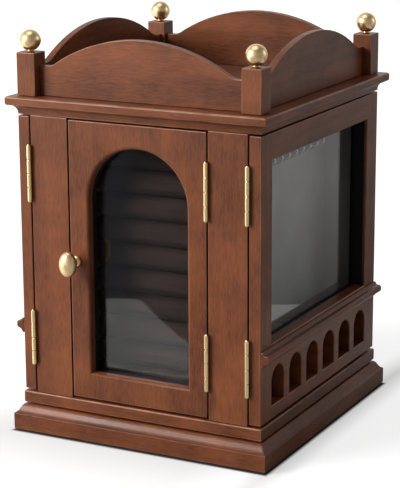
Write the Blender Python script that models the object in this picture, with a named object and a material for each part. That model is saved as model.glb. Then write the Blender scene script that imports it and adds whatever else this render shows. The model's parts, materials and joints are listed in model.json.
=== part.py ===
"""Rotating jewelry cabinet: a wooden tower on a ball-bearing turntable.

The front is an arched glass door over rows of ring rolls, each side is a full-height glazed door over
hooks for necklaces, three drawers fill the back, and a railed tray with brass balls closes the top.
Metres, +Z up, front towards -Y. The origin is on the turning axis, at the level of the table.
"""

import math

import bmesh
import bpy
from mathutils import Matrix, Vector

# Fits shared by all pieces
SEAT_GAP = 0.0003
CUT_OVERRUN = 0.002

# Case: four stiles between a bottom board and a moulded top
BODY_WIDTH = 0.230
BODY_DEPTH = 0.250
STILE_HEIGHT = 0.2478
STILE_WIDTH = 0.0363
STILE_THICKNESS = 0.014
BOTTOM_BOARD_THICKNESS = 0.0107
BOTTOM_BOARD_OVERHANG = 0.0012
DIVIDER_THICKNESS = 0.006
DIVIDER_LAP = 0.0014

# Plinth and the felt under it
FELT_THICKNESS = 0.0012
FELT_INSET = 0.006
MOULDING_WIDTH = 0.020
PLINTH_OVERHANG = 0.0082
PLINTH_SLAB_HEIGHT = 0.0144
PLINTH_OGEE_HEIGHT = 0.0079
PLINTH_OGEE_shares = [(1, 0), (0.80, 0.10), (0.62, 0.30), (0.48, 0.55), (0.33, 0.80), (0.16, 0.96), (0, 1)]

# Turntable bearing between the plinth and the case
TURNTABLE_GAP = 0.0016
BEARING_HEIGHT = 0.0086
BEARING_PLATE_HALF_SIDE = 0.050
BEARING_PLATE_THICKNESS = 0.0012
BEARING_HOLE_RADIUS = 0.028
RACE_RADIUS = 0.038
RACE_WIDTH = 0.0084
RACE_LIP_GAP = 0.0009
BALL_RADIUS = 0.0023
BALL_COUNT = 12
BALL_CLEARANCE = 0.0004
CAGE_THICKNESS = 0.001
CAGE_WIDTH = 0.0076
BEARING_SCREW_INSET = 0.006
SCREW_HEAD_RADIUS = 0.0028
SCREW_HEAD_HEIGHT = 0.0015
SCREW_SHANK_RADIUS = 0.0013
SCREW_LENGTH = 0.0065

# Cornice and the railed tray on top
CORNICE_OVERHANG = 0.0082
CORNICE_COVE_HEIGHT = 0.0079
CORNICE_COVE_DEPTH = 0.0062
CORNICE_SLAB_HEIGHT = 0.0076
CORNICE_EDGE_RADIUS = 0.0018
POST_SIDE = 0.018
POST_HEIGHT = 0.0372
POST_CHAMFER = 0.0008
GALLERY_SETBACK = 0.008
GALLERY_THICKNESS = 0.0065
GALLERY_CREST_HEIGHT = 0.0525
GALLERY_SHOULDER_HEIGHT = 0.0260
GALLERY_END_FLAT = 0.0065
CREST_ARC_share = 0.9
FINIAL_RADIUS = 0.009
FINIAL_FOOT_RADIUS = 0.0030
FINIAL_FOOT_HEIGHT = 0.0009
FINIAL_DOWEL_RADIUS = 0.002
FINIAL_DOWEL_LENGTH = 0.012

# Doors
DOOR_GAP = 0.0012
DOOR_FOOT_GAP = 0.0021
DOOR_HEAD_GAP = 0.0014
SIDE_DOOR_THICKNESS = 0.0109
SIDE_STILE_FRONT = 0.0215
SIDE_STILE_BACK = 0.0240
SIDE_TOP_RAIL = 0.0226
SIDE_LOWER_RAIL = 0.0661
WINDOW_CHAMFER = 0.0012
FRONT_WINDOW_WIDTH = 0.094
FRONT_BOTTOM_RAIL = 0.0233
FRONT_TOP_RAIL = 0.0206
FRONT_WINDOW_ROUND = 0.003
GLASS_THICKNESS = 0.002
GLASS_LAP = 0.004
BEAD_WIDTH = 0.0068
BEAD_LIP = 0.0015
BEAD_BACK = 0.002
SIDE_GLASS_RECESS = 0.0024

# Arcade and ledge on the side doors
ARCH_COUNT = 6
ARCADE_END_DISTANCE = 0.02225
ARCH_PIER_WIDTH = 0.0105
ARCH_HEIGHT = 0.033
ARCH_SILL = 0.0116
LINER_THICKNESS = 0.0018
LINER_MARGIN = 0.005
LEDGE_RISE = 0.0513
LEDGE_HEIGHT = 0.013
LEDGE_OVERHANG = 0.0072
LEDGE_shares = [
    (0, 0), (0.16, 0.0), (0.26, 0.10), (0.46, 0.24), (0.78, 0.30), (0.95, 0.38), (1.0, 0.52),
    (0.96, 0.68), (0.80, 0.78), (0.52, 0.80), (0.30, 0.86), (0.18, 1.0), (0, 1),
]

# Butt hinges: six alike, two on each door
HINGE_LENGTH = 0.0490
HINGE_KNUCKLES = 4
HINGE_KNUCKLE_RADIUS = 0.0020
HINGE_PIN_RADIUS = 0.0009
HINGE_PIN_CLEARANCE = 0.0001
HINGE_KNUCKLE_GAP = 0.0003
HINGE_LEAF_THICKNESS = 0.0009
HINGE_LEAF_DEPTH = 0.009
HINGE_LEAF_PARTING = 0.0003
HINGE_PIN_CAP = 0.0005
HINGE_TOP_DROP = 0.0248
HINGE_FOOT_RISE = 0.0247

# Knobs
KNOB_HALF_WIDTH = 0.007
KNOB_HALF_HEIGHT = 0.0115
KNOB_HALF_DEPTH = 0.0062
KNOB_REACH = 0.014
KNOB_NECK_RADIUS = 0.0026
ROSE_RADIUS = 0.0050
ROSE_THICKNESS = 0.0022
ROSE_EDGE = 0.0014
KNOB_EDGE_DISTANCE = 0.0054
KNOB_RISE = 0.1225

# Inside fittings
RING_SPACE_DEPTH = 0.017
ROLL_PITCH = 0.022
ROLL_PARTING = 0.0006
ROLL_DEPTH = 0.0235
ROLL_BACKING = 0.0045
ROLL_END_DRAW = 0.003
ROLL_CREST_shares = [(0.28, 0.46), (0.55, 0.5), (0.82, 0.42), (0.95, 0.24), (1.0, 0)]
HOOK_COUNT = 11
HOOK_PITCH = 0.015
HOOK_DROP = 0.0438
HOOK_RAIL_HEIGHT = 0.010
HOOK_RAIL_THICKNESS = 0.0045
HOOK_RAIL_END = 0.009
HOOK_WIRE_RADIUS = 0.0007
HOOK_SHANK = 0.0065
HOOK_BEND_RADIUS = 0.0030
HOOK_TURN_share = 0.85
CATCH_TRAY_WIDTH = 0.0276
CATCH_TRAY_LENGTH = 0.092
CATCH_TRAY_RISE = 0.0575
CATCH_TRAY_HEIGHT = 0.007
CATCH_TRAY_WALL = 0.002

# Drawers at the back
DRAWER_COUNT = 3
DRAWER_PARTING = 0.0015
DRAWER_END_SPACE = 0.0267
DRAWER_WALL = 0.004
DRAWER_SIDE_CLEARANCE = 0.0008
DRAWER_HEAD_CLEARANCE = 0.0025
RUNNER_THICKNESS = 0.004
RUNNER_WIDTH = 0.007
GLUE_LAP = 0.001

# Facets
ROUND_SIDES = 32
BALL_SPLIT_COUNT = 2
SMALL_SIDES = 12
KNOB_SIDES = 16
BALL_STEPS = 10
SCREW_SIDES = 8
ARCH_STEPS = 12
ROUND_STEPS = 3
CURVE_STEPS = 7

# Levels, from the table up
PLINTH_BOTTOM = FELT_THICKNESS + SEAT_GAP
PLINTH_CREASE = PLINTH_BOTTOM + PLINTH_SLAB_HEIGHT
PLINTH_TOP = PLINTH_CREASE + PLINTH_OGEE_HEIGHT
BOARD_BOTTOM = PLINTH_TOP + TURNTABLE_GAP
BOARD_TOP = BOARD_BOTTOM + BOTTOM_BOARD_THICKNESS
CASE_BOTTOM = BOARD_TOP + SEAT_GAP
CASE_TOP = CASE_BOTTOM + STILE_HEIGHT
CORNICE_BOTTOM = CASE_TOP + SEAT_GAP
SLAB_BOTTOM = CORNICE_BOTTOM + CORNICE_COVE_HEIGHT
TRAY_FLOOR = SLAB_BOTTOM + CORNICE_SLAB_HEIGHT
RAIL_BOTTOM = TRAY_FLOOR + SEAT_GAP
POST_TOP = TRAY_FLOOR + POST_HEIGHT
DOOR_BOTTOM = BOARD_TOP + DOOR_FOOT_GAP
DOOR_TOP = CORNICE_BOTTOM - DOOR_HEAD_GAP

# Planes shared by neighbours
HALF_WIDTH = BODY_WIDTH / 2
HALF_DEPTH = BODY_DEPTH / 2
SIDE_GAP_MID = HALF_WIDTH - SIDE_DOOR_THICKNESS - DOOR_GAP / 2
STILE_OUTER = SIDE_GAP_MID - DOOR_GAP / 2
STILE_INNER = STILE_OUTER - STILE_WIDTH
FRONT_GAP_MID = STILE_INNER - DOOR_GAP / 2
OPENING_HALF = FRONT_GAP_MID - DOOR_GAP / 2
INNER_FRONT = HALF_DEPTH - STILE_THICKNESS
DIVIDER_INNER = STILE_INNER + DIVIDER_LAP - DIVIDER_THICKNESS
DIVIDER_OUTER = STILE_INNER + DIVIDER_LAP
PAD_BACK = SEAT_GAP - INNER_FRONT + RING_SPACE_DEPTH + ROLL_DEPTH + ROLL_BACKING
DRAWER_LENGTH = INNER_FRONT - PAD_BACK - DRAWER_END_SPACE
MOULDING_INNER = PLINTH_OVERHANG - MOULDING_WIDTH
CORNICE_INNER = CORNICE_OVERHANG - MOULDING_WIDTH
HINGE_AXIS_Y = -(HALF_DEPTH + HINGE_KNUCKLE_RADIUS + SEAT_GAP)
HINGE_BOTTOMS = (DOOR_BOTTOM + HINGE_FOOT_RISE, DOOR_TOP - HINGE_TOP_DROP - HINGE_LENGTH)
BEARING_BOTTOM = BOARD_BOTTOM - SEAT_GAP - BEARING_HEIGHT
BEARING_MIDDLE = BEARING_BOTTOM + BEARING_HEIGHT / 2
BEARING_RECESS_FLOOR = BEARING_BOTTOM - SEAT_GAP
ARCADE_LENGTH = BODY_DEPTH - 2 * ARCADE_END_DISTANCE
ARCH_WIDTH = (ARCADE_LENGTH - (ARCH_COUNT - 1) * ARCH_PIER_WIDTH) / ARCH_COUNT
ARCH_PITCH = ARCH_WIDTH + ARCH_PIER_WIDTH
FRONT_WINDOW = (
    -FRONT_WINDOW_WIDTH / 2, FRONT_WINDOW_WIDTH / 2, DOOR_BOTTOM + FRONT_BOTTOM_RAIL, DOOR_TOP - FRONT_TOP_RAIL
)
SIDE_WINDOW = (
    SIDE_STILE_FRONT - HALF_DEPTH, HALF_DEPTH - SIDE_STILE_BACK,
    DOOR_BOTTOM + SIDE_LOWER_RAIL, DOOR_TOP - SIDE_TOP_RAIL,
)


def clear_scene():
    """Removes whatever the startup scene holds."""
    for obj in list(bpy.data.objects):
        bpy.data.objects.remove(obj, do_unlink=True)


def make_material(name, color, roughness, metallic=0.0, alpha=1.0):
    """A Principled material with the finish of one piece."""
    material = bpy.data.materials.new(name)
    material.use_nodes = True
    shader = material.node_tree.nodes["Principled BSDF"]
    shader.inputs["Base Color"].default_value = (*color, 1.0)
    shader.inputs["Roughness"].default_value = roughness
    shader.inputs["Metallic"].default_value = metallic
    shader.inputs["Alpha"].default_value = alpha
    material.diffuse_color = (*color, alpha)
    return material


FINISHES = {
    "walnut": ((0.16, 0.062, 0.036), 0.38, 0.0, 1.0),
    "walnut_end": ((0.12, 0.047, 0.028), 0.42, 0.0, 1.0),
    "inner_wood": ((0.30, 0.17, 0.10), 0.60, 0.0, 1.0),
    "black_lining": ((0.012, 0.010, 0.010), 0.85, 0.0, 1.0),
    "grey_felt": ((0.20, 0.19, 0.19), 0.95, 0.0, 1.0),
    "velvet": ((0.030, 0.020, 0.018), 0.95, 0.0, 1.0),
    "brass": ((0.80, 0.56, 0.24), 0.25, 1.0, 1.0),
    "steel": ((0.55, 0.56, 0.58), 0.35, 1.0, 1.0),
    "zinc": ((0.45, 0.46, 0.47), 0.45, 1.0, 1.0),
    "glass": ((0.75, 0.80, 0.80), 0.05, 0.0, 0.35),
}


def finish_object(name, mesh, finish, pivot, smooth_angle=None):
    """Puts a mesh in the scene as one named piece that hangs from its body's pivot."""
    obj = bpy.data.objects.new(name, mesh)
    bpy.context.scene.collection.objects.link(obj)
    mesh.materials.clear()
    mesh.materials.append(make_material(name, *FINISHES[finish]))
    if pivot is not None:
        obj.parent = pivot
        obj.matrix_parent_inverse = Matrix.Translation(-pivot.location)
    if smooth_angle is not None:
        mesh.shade_smooth()
        mesh.set_sharp_from_angle(angle=math.radians(smooth_angle))
    return obj


def piece(name, build, finish, pivot, smooth_angle=None):
    """One piece from a function that fills a bmesh."""
    bm = bmesh.new()
    build(bm)
    bmesh.ops.recalc_face_normals(bm, faces=bm.faces)
    mesh = bpy.data.meshes.new(name)
    bm.to_mesh(mesh)
    bm.free()
    return finish_object(name, mesh, finish, pivot, smooth_angle)


def cutter(name, build):
    """A closed helper shape that a Boolean reads and a render leaves out."""
    bm = bmesh.new()
    build(bm)
    bmesh.ops.recalc_face_normals(bm, faces=bm.faces)
    mesh = bpy.data.meshes.new(name)
    bm.to_mesh(mesh)
    bm.free()
    obj = bpy.data.objects.new(name, mesh)
    bpy.context.scene.collection.objects.link(obj)
    obj.hide_render = True
    obj.display_type = "WIRE"
    return obj


def combine(obj, other, operation="DIFFERENCE"):
    """Adds an exact Boolean of another object to this one."""
    modifier = obj.modifiers.new(other.name, "BOOLEAN")
    modifier.operation = operation
    modifier.solver = "EXACT"
    modifier.object = other


def add_box(bm, low, high):
    """A box between two corners."""
    loops = []
    for z in (low[2], high[2]):
        loops.append([Vector((x, y, z)) for x, y in
                      ((low[0], low[1]), (high[0], low[1]), (high[0], high[1]), (low[0], high[1]))])
    add_loft(bm, loops)


def add_loft(bm, loops, ring=False):
    """Bridges loops of equally many points, and caps the ends or closes them into a ring."""
    rows = [[bm.verts.new(point) for point in loop] for loop in loops]
    pairs = list(zip(rows, rows[1:]))
    if ring:
        pairs.append((rows[-1], rows[0]))
    for first, second in pairs:
        count = len(first)
        for i in range(count):
            j = (i + 1) % count
            bm.faces.new((first[i], first[j], second[j], second[i]))
    if not ring:
        bm.faces.new(rows[0])
        bm.faces.new(list(reversed(rows[-1])))


def add_turned(bm, profile, center, sides, ring=False, square=()):
    """Turns (radius, height) points about Z. A point whose index is in square follows a square plate."""
    loops = []
    for index, (radius, height) in enumerate(profile):
        loop = []
        for i in range(sides):
            angle = 2 * math.pi * i / sides
            c, s = math.cos(angle), math.sin(angle)
            reach = radius / max(abs(c), abs(s)) if index in square else radius
            loop.append(Vector((center[0] + reach * c, center[1] + reach * s, center[2] + height)))
        loops.append(loop)
    add_loft(bm, loops, ring)


def arch_outline(window, offset=0.0):
    """Outline of a round-headed opening, widened by offset on all sides."""
    left, right, bottom, top = window[0] - offset, window[1] + offset, window[2] - offset, window[3] + offset
    radius = (right - left) / 2
    middle, spring = (left + right) / 2, top - radius
    points = [(left, bottom), (right, bottom)]
    for i in range(ARCH_STEPS + 1):
        angle = math.pi * i / ARCH_STEPS
        points.append((middle + radius * math.cos(angle), spring + radius * math.sin(angle)))
    return points


def rectangle_outline(window, offset=0.0):
    """Outline of a square-cornered opening, widened by offset on all sides."""
    left, right, bottom, top = window[0] - offset, window[1] + offset, window[2] - offset, window[3] + offset
    return [(left, bottom), (right, bottom), (right, top), (left, top)]


def add_section(bm, outline, window, section, place, ring=False):
    """Sweeps (offset, depth) points round an opening's outline."""
    loops = [[place(u, v, depth) for u, v in outline(window, offset)] for offset, depth in section]
    add_loft(bm, loops, ring)


def front_place(u, v, depth):
    """Front door: u is x, v is z, depth runs back from the front face."""
    return Vector((u, depth - HALF_DEPTH, v))


def side_place(side):
    """Side door: u is y, v is z, depth runs in from the outer face."""
    return lambda u, v, depth: Vector((side * (HALF_WIDTH - depth), u, v))


def add_moulding_frame(bm, profile, half_x, half_y):
    """A moulding of (distance out, height) points, mitred round the four sides of a rectangle and glued up."""
    loops = []
    for out, z in profile:
        x, y = half_x + out, half_y + out
        loops.append([Vector((-x, -y, z)), Vector((x, -y, z)), Vector((x, y, z)), Vector((-x, y, z))])
    add_loft(bm, loops, True)


def add_open_box(bm, low, high, wall):
    """A tray with walls and a floor of one thickness, open at the top."""
    outer = [(low[0], low[1]), (high[0], low[1]), (high[0], high[1]), (low[0], high[1])]
    inner = [(low[0] + wall, low[1] + wall), (high[0] - wall, low[1] + wall),
             (high[0] - wall, high[1] - wall), (low[0] + wall, high[1] - wall)]
    levels = [(outer, low[2]), (outer, high[2]), (inner, high[2]), (inner, low[2] + wall)]
    add_loft(bm, [[Vector((x, y, z)) for x, y in outline] for outline, z in levels])


def make_pivot(name, location):
    """An empty on a moving body's joint axis."""
    pivot = bpy.data.objects.new(name, None)
    pivot.location = location
    bpy.context.scene.collection.objects.link(pivot)
    return pivot


# Base: plinth, felt and turntable


def bearing_plate_profile(up):
    """Section of a pressed plate with its raised race. up is 1 for the lower plate and -1 for the upper."""
    half = BEARING_HEIGHT / 2
    face = half - BEARING_PLATE_THICKNESS
    groove_depth = BALL_RADIUS + BALL_CLEARANCE
    mouth = groove_depth + BALL_CLEARANCE
    points = [
        (BEARING_HOLE_RADIUS, -half),
        (BEARING_PLATE_HALF_SIDE, -half),
        (BEARING_PLATE_HALF_SIDE, -face),
        (RACE_RADIUS + RACE_WIDTH / 2, -face),
        (RACE_RADIUS + RACE_WIDTH / 2, -RACE_LIP_GAP),
        (RACE_RADIUS + mouth, -RACE_LIP_GAP),
        (RACE_RADIUS + mouth / 2, -groove_depth),
        (RACE_RADIUS - mouth / 2, -groove_depth),
        (RACE_RADIUS - mouth, -RACE_LIP_GAP),
        (RACE_RADIUS - RACE_WIDTH / 2, -RACE_LIP_GAP),
        (RACE_RADIUS - RACE_WIDTH / 2, -face),
        (BEARING_HOLE_RADIUS, -face),
    ]
    return [(radius, up * height) for radius, height in points]


def bearing_screw_places():
    """Centres of the four screws of a bearing plate."""
    half = BEARING_PLATE_HALF_SIDE - BEARING_SCREW_INSET
    return [(sx * half, sy * half) for sx in (-1, 1) for sy in (-1, 1)]


def add_screws(bm, head_face, up):
    """Four pan-head screws driven through a plate. up is 1 where the heads point up."""
    for x, y in bearing_screw_places():
        profile = [
            (SCREW_SHANK_RADIUS / 2, -SCREW_LENGTH),
            (SCREW_SHANK_RADIUS, -SCREW_LENGTH + SCREW_SHANK_RADIUS),
            (SCREW_SHANK_RADIUS, -SEAT_GAP),
            (SCREW_HEAD_RADIUS, -SEAT_GAP),
            (SCREW_HEAD_RADIUS, SCREW_HEAD_HEIGHT / 2),
            (SCREW_HEAD_RADIUS / 2, SCREW_HEAD_HEIGHT),
        ]
        add_turned(bm, [(r, up * h) for r, h in profile], (x, y, head_face), SCREW_SIDES)


def add_pilot_holes(bm, low, high):
    """Holes in a board for the four screws of a bearing plate."""
    for x, y in bearing_screw_places():
        radius = SCREW_SHANK_RADIUS + SEAT_GAP
        add_turned(bm, [(radius, low), (radius, high)], (x, y, 0), SCREW_SIDES)


def build_bearing_plate(name, up, pivot):
    """A bearing plate with its screws driven in. up is 1 for the lower plate and -1 for the upper."""
    plate = piece(name, lambda bm: add_turned(
        bm, bearing_plate_profile(up), (0, 0, BEARING_MIDDLE), ROUND_SIDES, True, (1, 2)), "zinc", pivot, 30)
    head_face = BEARING_MIDDLE - up * (BEARING_HEIGHT / 2 - BEARING_PLATE_THICKNESS)
    combine(plate, cutter(f"{name}_screws", lambda bm: add_screws(bm, head_face, up)), "UNION")


def build_base():
    """Everything that stays still on the table."""
    inner_x, inner_y = HALF_WIDTH + MOULDING_INNER - SEAT_GAP, HALF_DEPTH + MOULDING_INNER - SEAT_GAP
    board = piece("plinth_board",
                  lambda bm: add_box(bm, (-inner_x, -inner_y, PLINTH_BOTTOM), (inner_x, inner_y, PLINTH_TOP)),
                  "inner_wood", None)
    corner_reach = math.hypot(BEARING_PLATE_HALF_SIDE, BEARING_PLATE_HALF_SIDE) + SEAT_GAP
    combine(board, cutter("bearing_recess_cutter", lambda bm: add_turned(
        bm, [(corner_reach, BEARING_RECESS_FLOOR), (corner_reach, PLINTH_TOP + CUT_OVERRUN)], (0, 0, 0), ROUND_SIDES)))
    screw_tip = BEARING_BOTTOM + BEARING_PLATE_THICKNESS - SCREW_LENGTH - SEAT_GAP
    combine(board, cutter("lower_pilot_cutter", lambda bm: add_pilot_holes(bm, screw_tip, PLINTH_TOP)))

    ogee = [(PLINTH_OVERHANG * out, PLINTH_CREASE + PLINTH_OGEE_HEIGHT * up) for out, up in PLINTH_OGEE_shares]
    profile = [(MOULDING_INNER, PLINTH_BOTTOM), (PLINTH_OVERHANG, PLINTH_BOTTOM), *ogee, (MOULDING_INNER, PLINTH_TOP)]
    piece("plinth_moulding", lambda bm: add_moulding_frame(bm, profile, HALF_WIDTH, HALF_DEPTH), "walnut", None, 30)
    felt_x = HALF_WIDTH + PLINTH_OVERHANG - FELT_INSET
    felt_y = HALF_DEPTH + PLINTH_OVERHANG - FELT_INSET
    piece("base_felt", lambda bm: add_box(bm, (-felt_x, -felt_y, 0), (felt_x, felt_y, FELT_THICKNESS)),
          "grey_felt", None)
    build_bearing_plate("bearing_lower_plate", 1, None)


def build_ball_cage():
    """The ring of balls of the turntable in its cage, which turns at half the speed of the case."""
    pivot = make_pivot("ball_cage_pivot", (0, 0, BEARING_MIDDLE))
    half = CAGE_THICKNESS / 2
    inner, outer = RACE_RADIUS - CAGE_WIDTH / 2, RACE_RADIUS + CAGE_WIDTH / 2
    cage = piece("bearing_ball_cage", lambda bm: add_turned(
        bm, [(inner, -half), (outer, -half), (outer, half), (inner, half)], (0, 0, BEARING_MIDDLE),
        ROUND_SIDES, True), "steel", pivot, 40)

    def add_balls(bm):
        for i in range(BALL_COUNT):
            angle = 2 * math.pi * (i / BALL_COUNT)
            place = (RACE_RADIUS * math.cos(angle), RACE_RADIUS * math.sin(angle), BEARING_MIDDLE)
            bmesh.ops.create_icosphere(bm, subdivisions=BALL_SPLIT_COUNT, radius=BALL_RADIUS,
                                       matrix=Matrix.Translation(place))

    combine(cage, cutter("cage_balls", add_balls), "UNION")


# Hinges


def knuckle_span(index):
    """Bottom and top of one knuckle, above the foot of its hinge."""
    pitch = HINGE_LENGTH / HINGE_KNUCKLES
    low = index * pitch + (HINGE_KNUCKLE_GAP / 2 if index else 0)
    high = (index + 1) * pitch - (HINGE_KNUCKLE_GAP / 2 if index < HINGE_KNUCKLES - 1 else 0)
    return low, high


def add_knuckles(bm, spans, radius, spare):
    """Short upright cylinders on the pin's axis, one at each named knuckle."""
    for index in spans:
        low, high = knuckle_span(index)
        add_turned(bm, [(radius, low - spare), (radius, high + spare)], (0, 0, 0), SMALL_SIDES)


def add_pin(bm):
    """The hinge pin, with a low cap at both ends."""
    top = HINGE_LENGTH + SEAT_GAP
    cap = (HINGE_PIN_RADIUS + HINGE_KNUCKLE_RADIUS) / 2
    profile = [
        (HINGE_PIN_RADIUS, -SEAT_GAP - HINGE_PIN_CAP), (cap, -SEAT_GAP - HINGE_PIN_CAP / 2), (cap, -SEAT_GAP),
        (HINGE_PIN_RADIUS, -SEAT_GAP), (HINGE_PIN_RADIUS, top), (cap, top), (cap, top + HINGE_PIN_CAP / 2),
        (HINGE_PIN_RADIUS, top + HINGE_PIN_CAP),
    ]
    add_turned(bm, profile, (0, 0, 0), SMALL_SIDES)


def leaf_mesh(side, fixed):
    """One hinge leaf about its own pin: a plate on one side of it with every other knuckle.

    The fixed leaf holds the pin, and the moving leaf is bored to turn on it.
    """
    near = HINGE_LEAF_PARTING / 2
    far = near + HINGE_LEAF_THICKNESS
    low_x, high_x = (near, far) if side > 0 else (-far, -near)
    back = HINGE_KNUCKLE_RADIUS + SEAT_GAP + HINGE_LEAF_DEPTH
    first = 0 if fixed else 1
    own, others = range(first, HINGE_KNUCKLES, 2), range(1 - first, HINGE_KNUCKLES, 2)
    bore = HINGE_PIN_RADIUS + HINGE_PIN_CLEARANCE
    leaf = piece("leaf_blank", lambda bm: add_box(bm, (low_x, 0, 0), (high_x, back, HINGE_LENGTH)), "brass", None)
    steps = [
        ("own_knuckles", "UNION", lambda bm: add_knuckles(bm, own, HINGE_KNUCKLE_RADIUS, 0)),
        ("notches", "DIFFERENCE", lambda bm: add_knuckles(
            bm, others, HINGE_KNUCKLE_RADIUS + HINGE_KNUCKLE_GAP, HINGE_KNUCKLE_GAP)),
        ("pin", "UNION", add_pin) if fixed else ("bore", "DIFFERENCE", lambda bm: add_turned(
            bm, [(bore, -CUT_OVERRUN), (bore, HINGE_LENGTH + CUT_OVERRUN)], (0, 0, 0), SMALL_SIDES)),
    ]
    helpers = []
    for name, operation, build in steps:
        helpers.append(cutter(name, build))
        combine(leaf, helpers[-1], operation)
    bpy.context.view_layer.update()
    graph = bpy.context.evaluated_depsgraph_get()
    mesh = bpy.data.meshes.new_from_object(leaf.evaluated_get(graph))
    for obj in (leaf, *helpers):
        bpy.data.objects.remove(obj, do_unlink=True)
    return mesh


def place_leaves(door, kind, mesh, x, pivot):
    """The lower and the upper leaf of one kind on one door, as two pieces of one mesh."""
    for word, bottom in zip(("lower", "upper"), HINGE_BOTTOMS):
        leaf = finish_object(f"{door}_{word}_hinge_{kind}", mesh, "brass", pivot, 40)
        leaf.location = (x, HINGE_AXIS_Y, bottom)


def add_mortises(bm, x, side):
    """Shallow pockets that let hinge leaves into the wood on one side of a gap."""
    shallow = DOOR_GAP / 2 - CUT_OVERRUN
    deep = HINGE_LEAF_PARTING / 2 + HINGE_LEAF_THICKNESS + SEAT_GAP
    low_x, high_x = sorted((x + side * shallow, x + side * deep))
    back = HINGE_AXIS_Y + HINGE_KNUCKLE_RADIUS + SEAT_GAP + HINGE_LEAF_DEPTH + SEAT_GAP
    for bottom in HINGE_BOTTOMS:
        add_box(bm, (low_x, -HALF_DEPTH - CUT_OVERRUN, bottom - SEAT_GAP),
                (high_x, back, bottom + HINGE_LENGTH + SEAT_GAP))


# Case


def build_stiles(pivot):
    """The four corner stiles. Those in front have pockets for the hinges."""
    for side, word in ((-1, "left"), (1, "right")):
        low_x, high_x = sorted((side * STILE_INNER, side * STILE_OUTER))
        front = piece(f"front_stile_{word}", lambda bm: add_box(
            bm, (low_x, -HALF_DEPTH, CASE_BOTTOM), (high_x, -INNER_FRONT, CASE_TOP)), "walnut", pivot)
        combine(front, cutter(f"{word}_outer_mortises", lambda bm: add_mortises(bm, side * SIDE_GAP_MID, -side)))
        if side > 0:
            combine(front, cutter("front_door_stile_mortises", lambda bm: add_mortises(bm, FRONT_GAP_MID, 1)))
        piece(f"back_stile_{word}", lambda bm: add_box(
            bm, (low_x, INNER_FRONT, CASE_BOTTOM), (high_x, HALF_DEPTH, CASE_TOP)), "walnut", pivot)


def cornice_profile():
    """Cove under a slab with rounded edges, as (distance out from the case, height)."""
    points = [(CORNICE_INNER, CORNICE_BOTTOM), (0, CORNICE_BOTTOM)]
    for i in range(1, CURVE_STEPS):
        angle = math.pi / 2 * i / (CURVE_STEPS - 1)
        points.append((CORNICE_COVE_DEPTH * (1 - math.cos(angle)),
                       CORNICE_BOTTOM + CORNICE_COVE_HEIGHT * math.sin(angle)))
    round_x = CORNICE_OVERHANG - CORNICE_EDGE_RADIUS
    for center_z, start in ((SLAB_BOTTOM + CORNICE_EDGE_RADIUS, -math.pi / 2), (TRAY_FLOOR - CORNICE_EDGE_RADIUS, 0)):
        for i in range(ROUND_STEPS + 1):
            angle = start + math.pi / 2 * i / ROUND_STEPS
            points.append((round_x + CORNICE_EDGE_RADIUS * math.cos(angle),
                           center_z + CORNICE_EDGE_RADIUS * math.sin(angle)))
    return [*points, (CORNICE_INNER, TRAY_FLOOR)]


def gallery_outline(half_length):
    """Side view of a gallery rail: a raised round crest that sweeps down into flat shoulders at the posts."""
    rise = GALLERY_CREST_HEIGHT - GALLERY_SHOULDER_HEIGHT
    run = half_length - GALLERY_END_FLAT
    total = (run * run + rise * rise) / (2 * rise)
    crest, sweep = total * CREST_ARC_share, total * (1 - CREST_ARC_share)
    turn = math.asin(run / total)
    half_curve = []
    for i in range(CURVE_STEPS + 1):
        angle = turn * i / CURVE_STEPS
        half_curve.append((crest * math.sin(angle), GALLERY_CREST_HEIGHT - crest * (1 - math.cos(angle))))
    for i in range(1, ROUND_STEPS + 1):
        angle = turn * (1 - i / ROUND_STEPS)
        half_curve.append((run - sweep * math.sin(angle), GALLERY_SHOULDER_HEIGHT + sweep * (1 - math.cos(angle))))
    half_curve.append((half_length, GALLERY_SHOULDER_HEIGHT))
    left = [(-u, v) for u, v in reversed(half_curve[1:])]
    bottom = SEAT_GAP
    return [(-half_length, bottom), *left, *half_curve, (half_length, bottom)]


def add_rail(bm, along_x, sign):
    """One curved gallery rail, set back between two posts."""
    if along_x:
        face = HALF_DEPTH - GALLERY_SETBACK
        outline = gallery_outline(HALF_WIDTH - POST_SIDE - SEAT_GAP)
        add_loft(bm, [[Vector((u, sign * y, TRAY_FLOOR + v)) for u, v in outline]
                      for y in (face, face - GALLERY_THICKNESS)])
    else:
        face = HALF_WIDTH - GALLERY_SETBACK
        outline = gallery_outline(HALF_DEPTH - POST_SIDE - SEAT_GAP)
        add_loft(bm, [[Vector((sign * x, u, TRAY_FLOOR + v)) for u, v in outline]
                      for x in (face, face - GALLERY_THICKNESS)])


def add_post(bm, x, y):
    """A square post with chamfered edges and top."""
    half, cut = POST_SIDE / 2, POST_SIDE / 2 - POST_CHAMFER
    outline = [(half, -cut), (half, cut), (cut, half), (-cut, half), (-half, cut), (-half, -cut),
               (-cut, -half), (cut, -half)]
    loops = []
    for shrink, z in ((1, RAIL_BOTTOM), (1, POST_TOP - POST_CHAMFER), (cut / half, POST_TOP)):
        loops.append([Vector((x + u * shrink, y + v * shrink, z)) for u, v in outline])
    add_loft(bm, loops)


def add_finial(bm, x, y):
    """A brass ball on a small foot, with a dowel down into its post."""
    foot = SEAT_GAP + FINIAL_FOOT_HEIGHT
    middle = foot + math.sqrt(FINIAL_RADIUS**2 - FINIAL_FOOT_RADIUS**2)
    start = math.atan2(FINIAL_FOOT_RADIUS, middle - foot)
    profile = [(FINIAL_DOWEL_RADIUS, -FINIAL_DOWEL_LENGTH), (FINIAL_DOWEL_RADIUS, SEAT_GAP),
               (FINIAL_FOOT_RADIUS, SEAT_GAP)]
    for i in range(BALL_STEPS):
        angle = start + (math.pi - start) * i / BALL_STEPS
        profile.append((FINIAL_RADIUS * math.sin(angle), middle - FINIAL_RADIUS * math.cos(angle)))
    add_turned(bm, profile, (x, y, POST_TOP), KNOB_SIDES)


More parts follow.
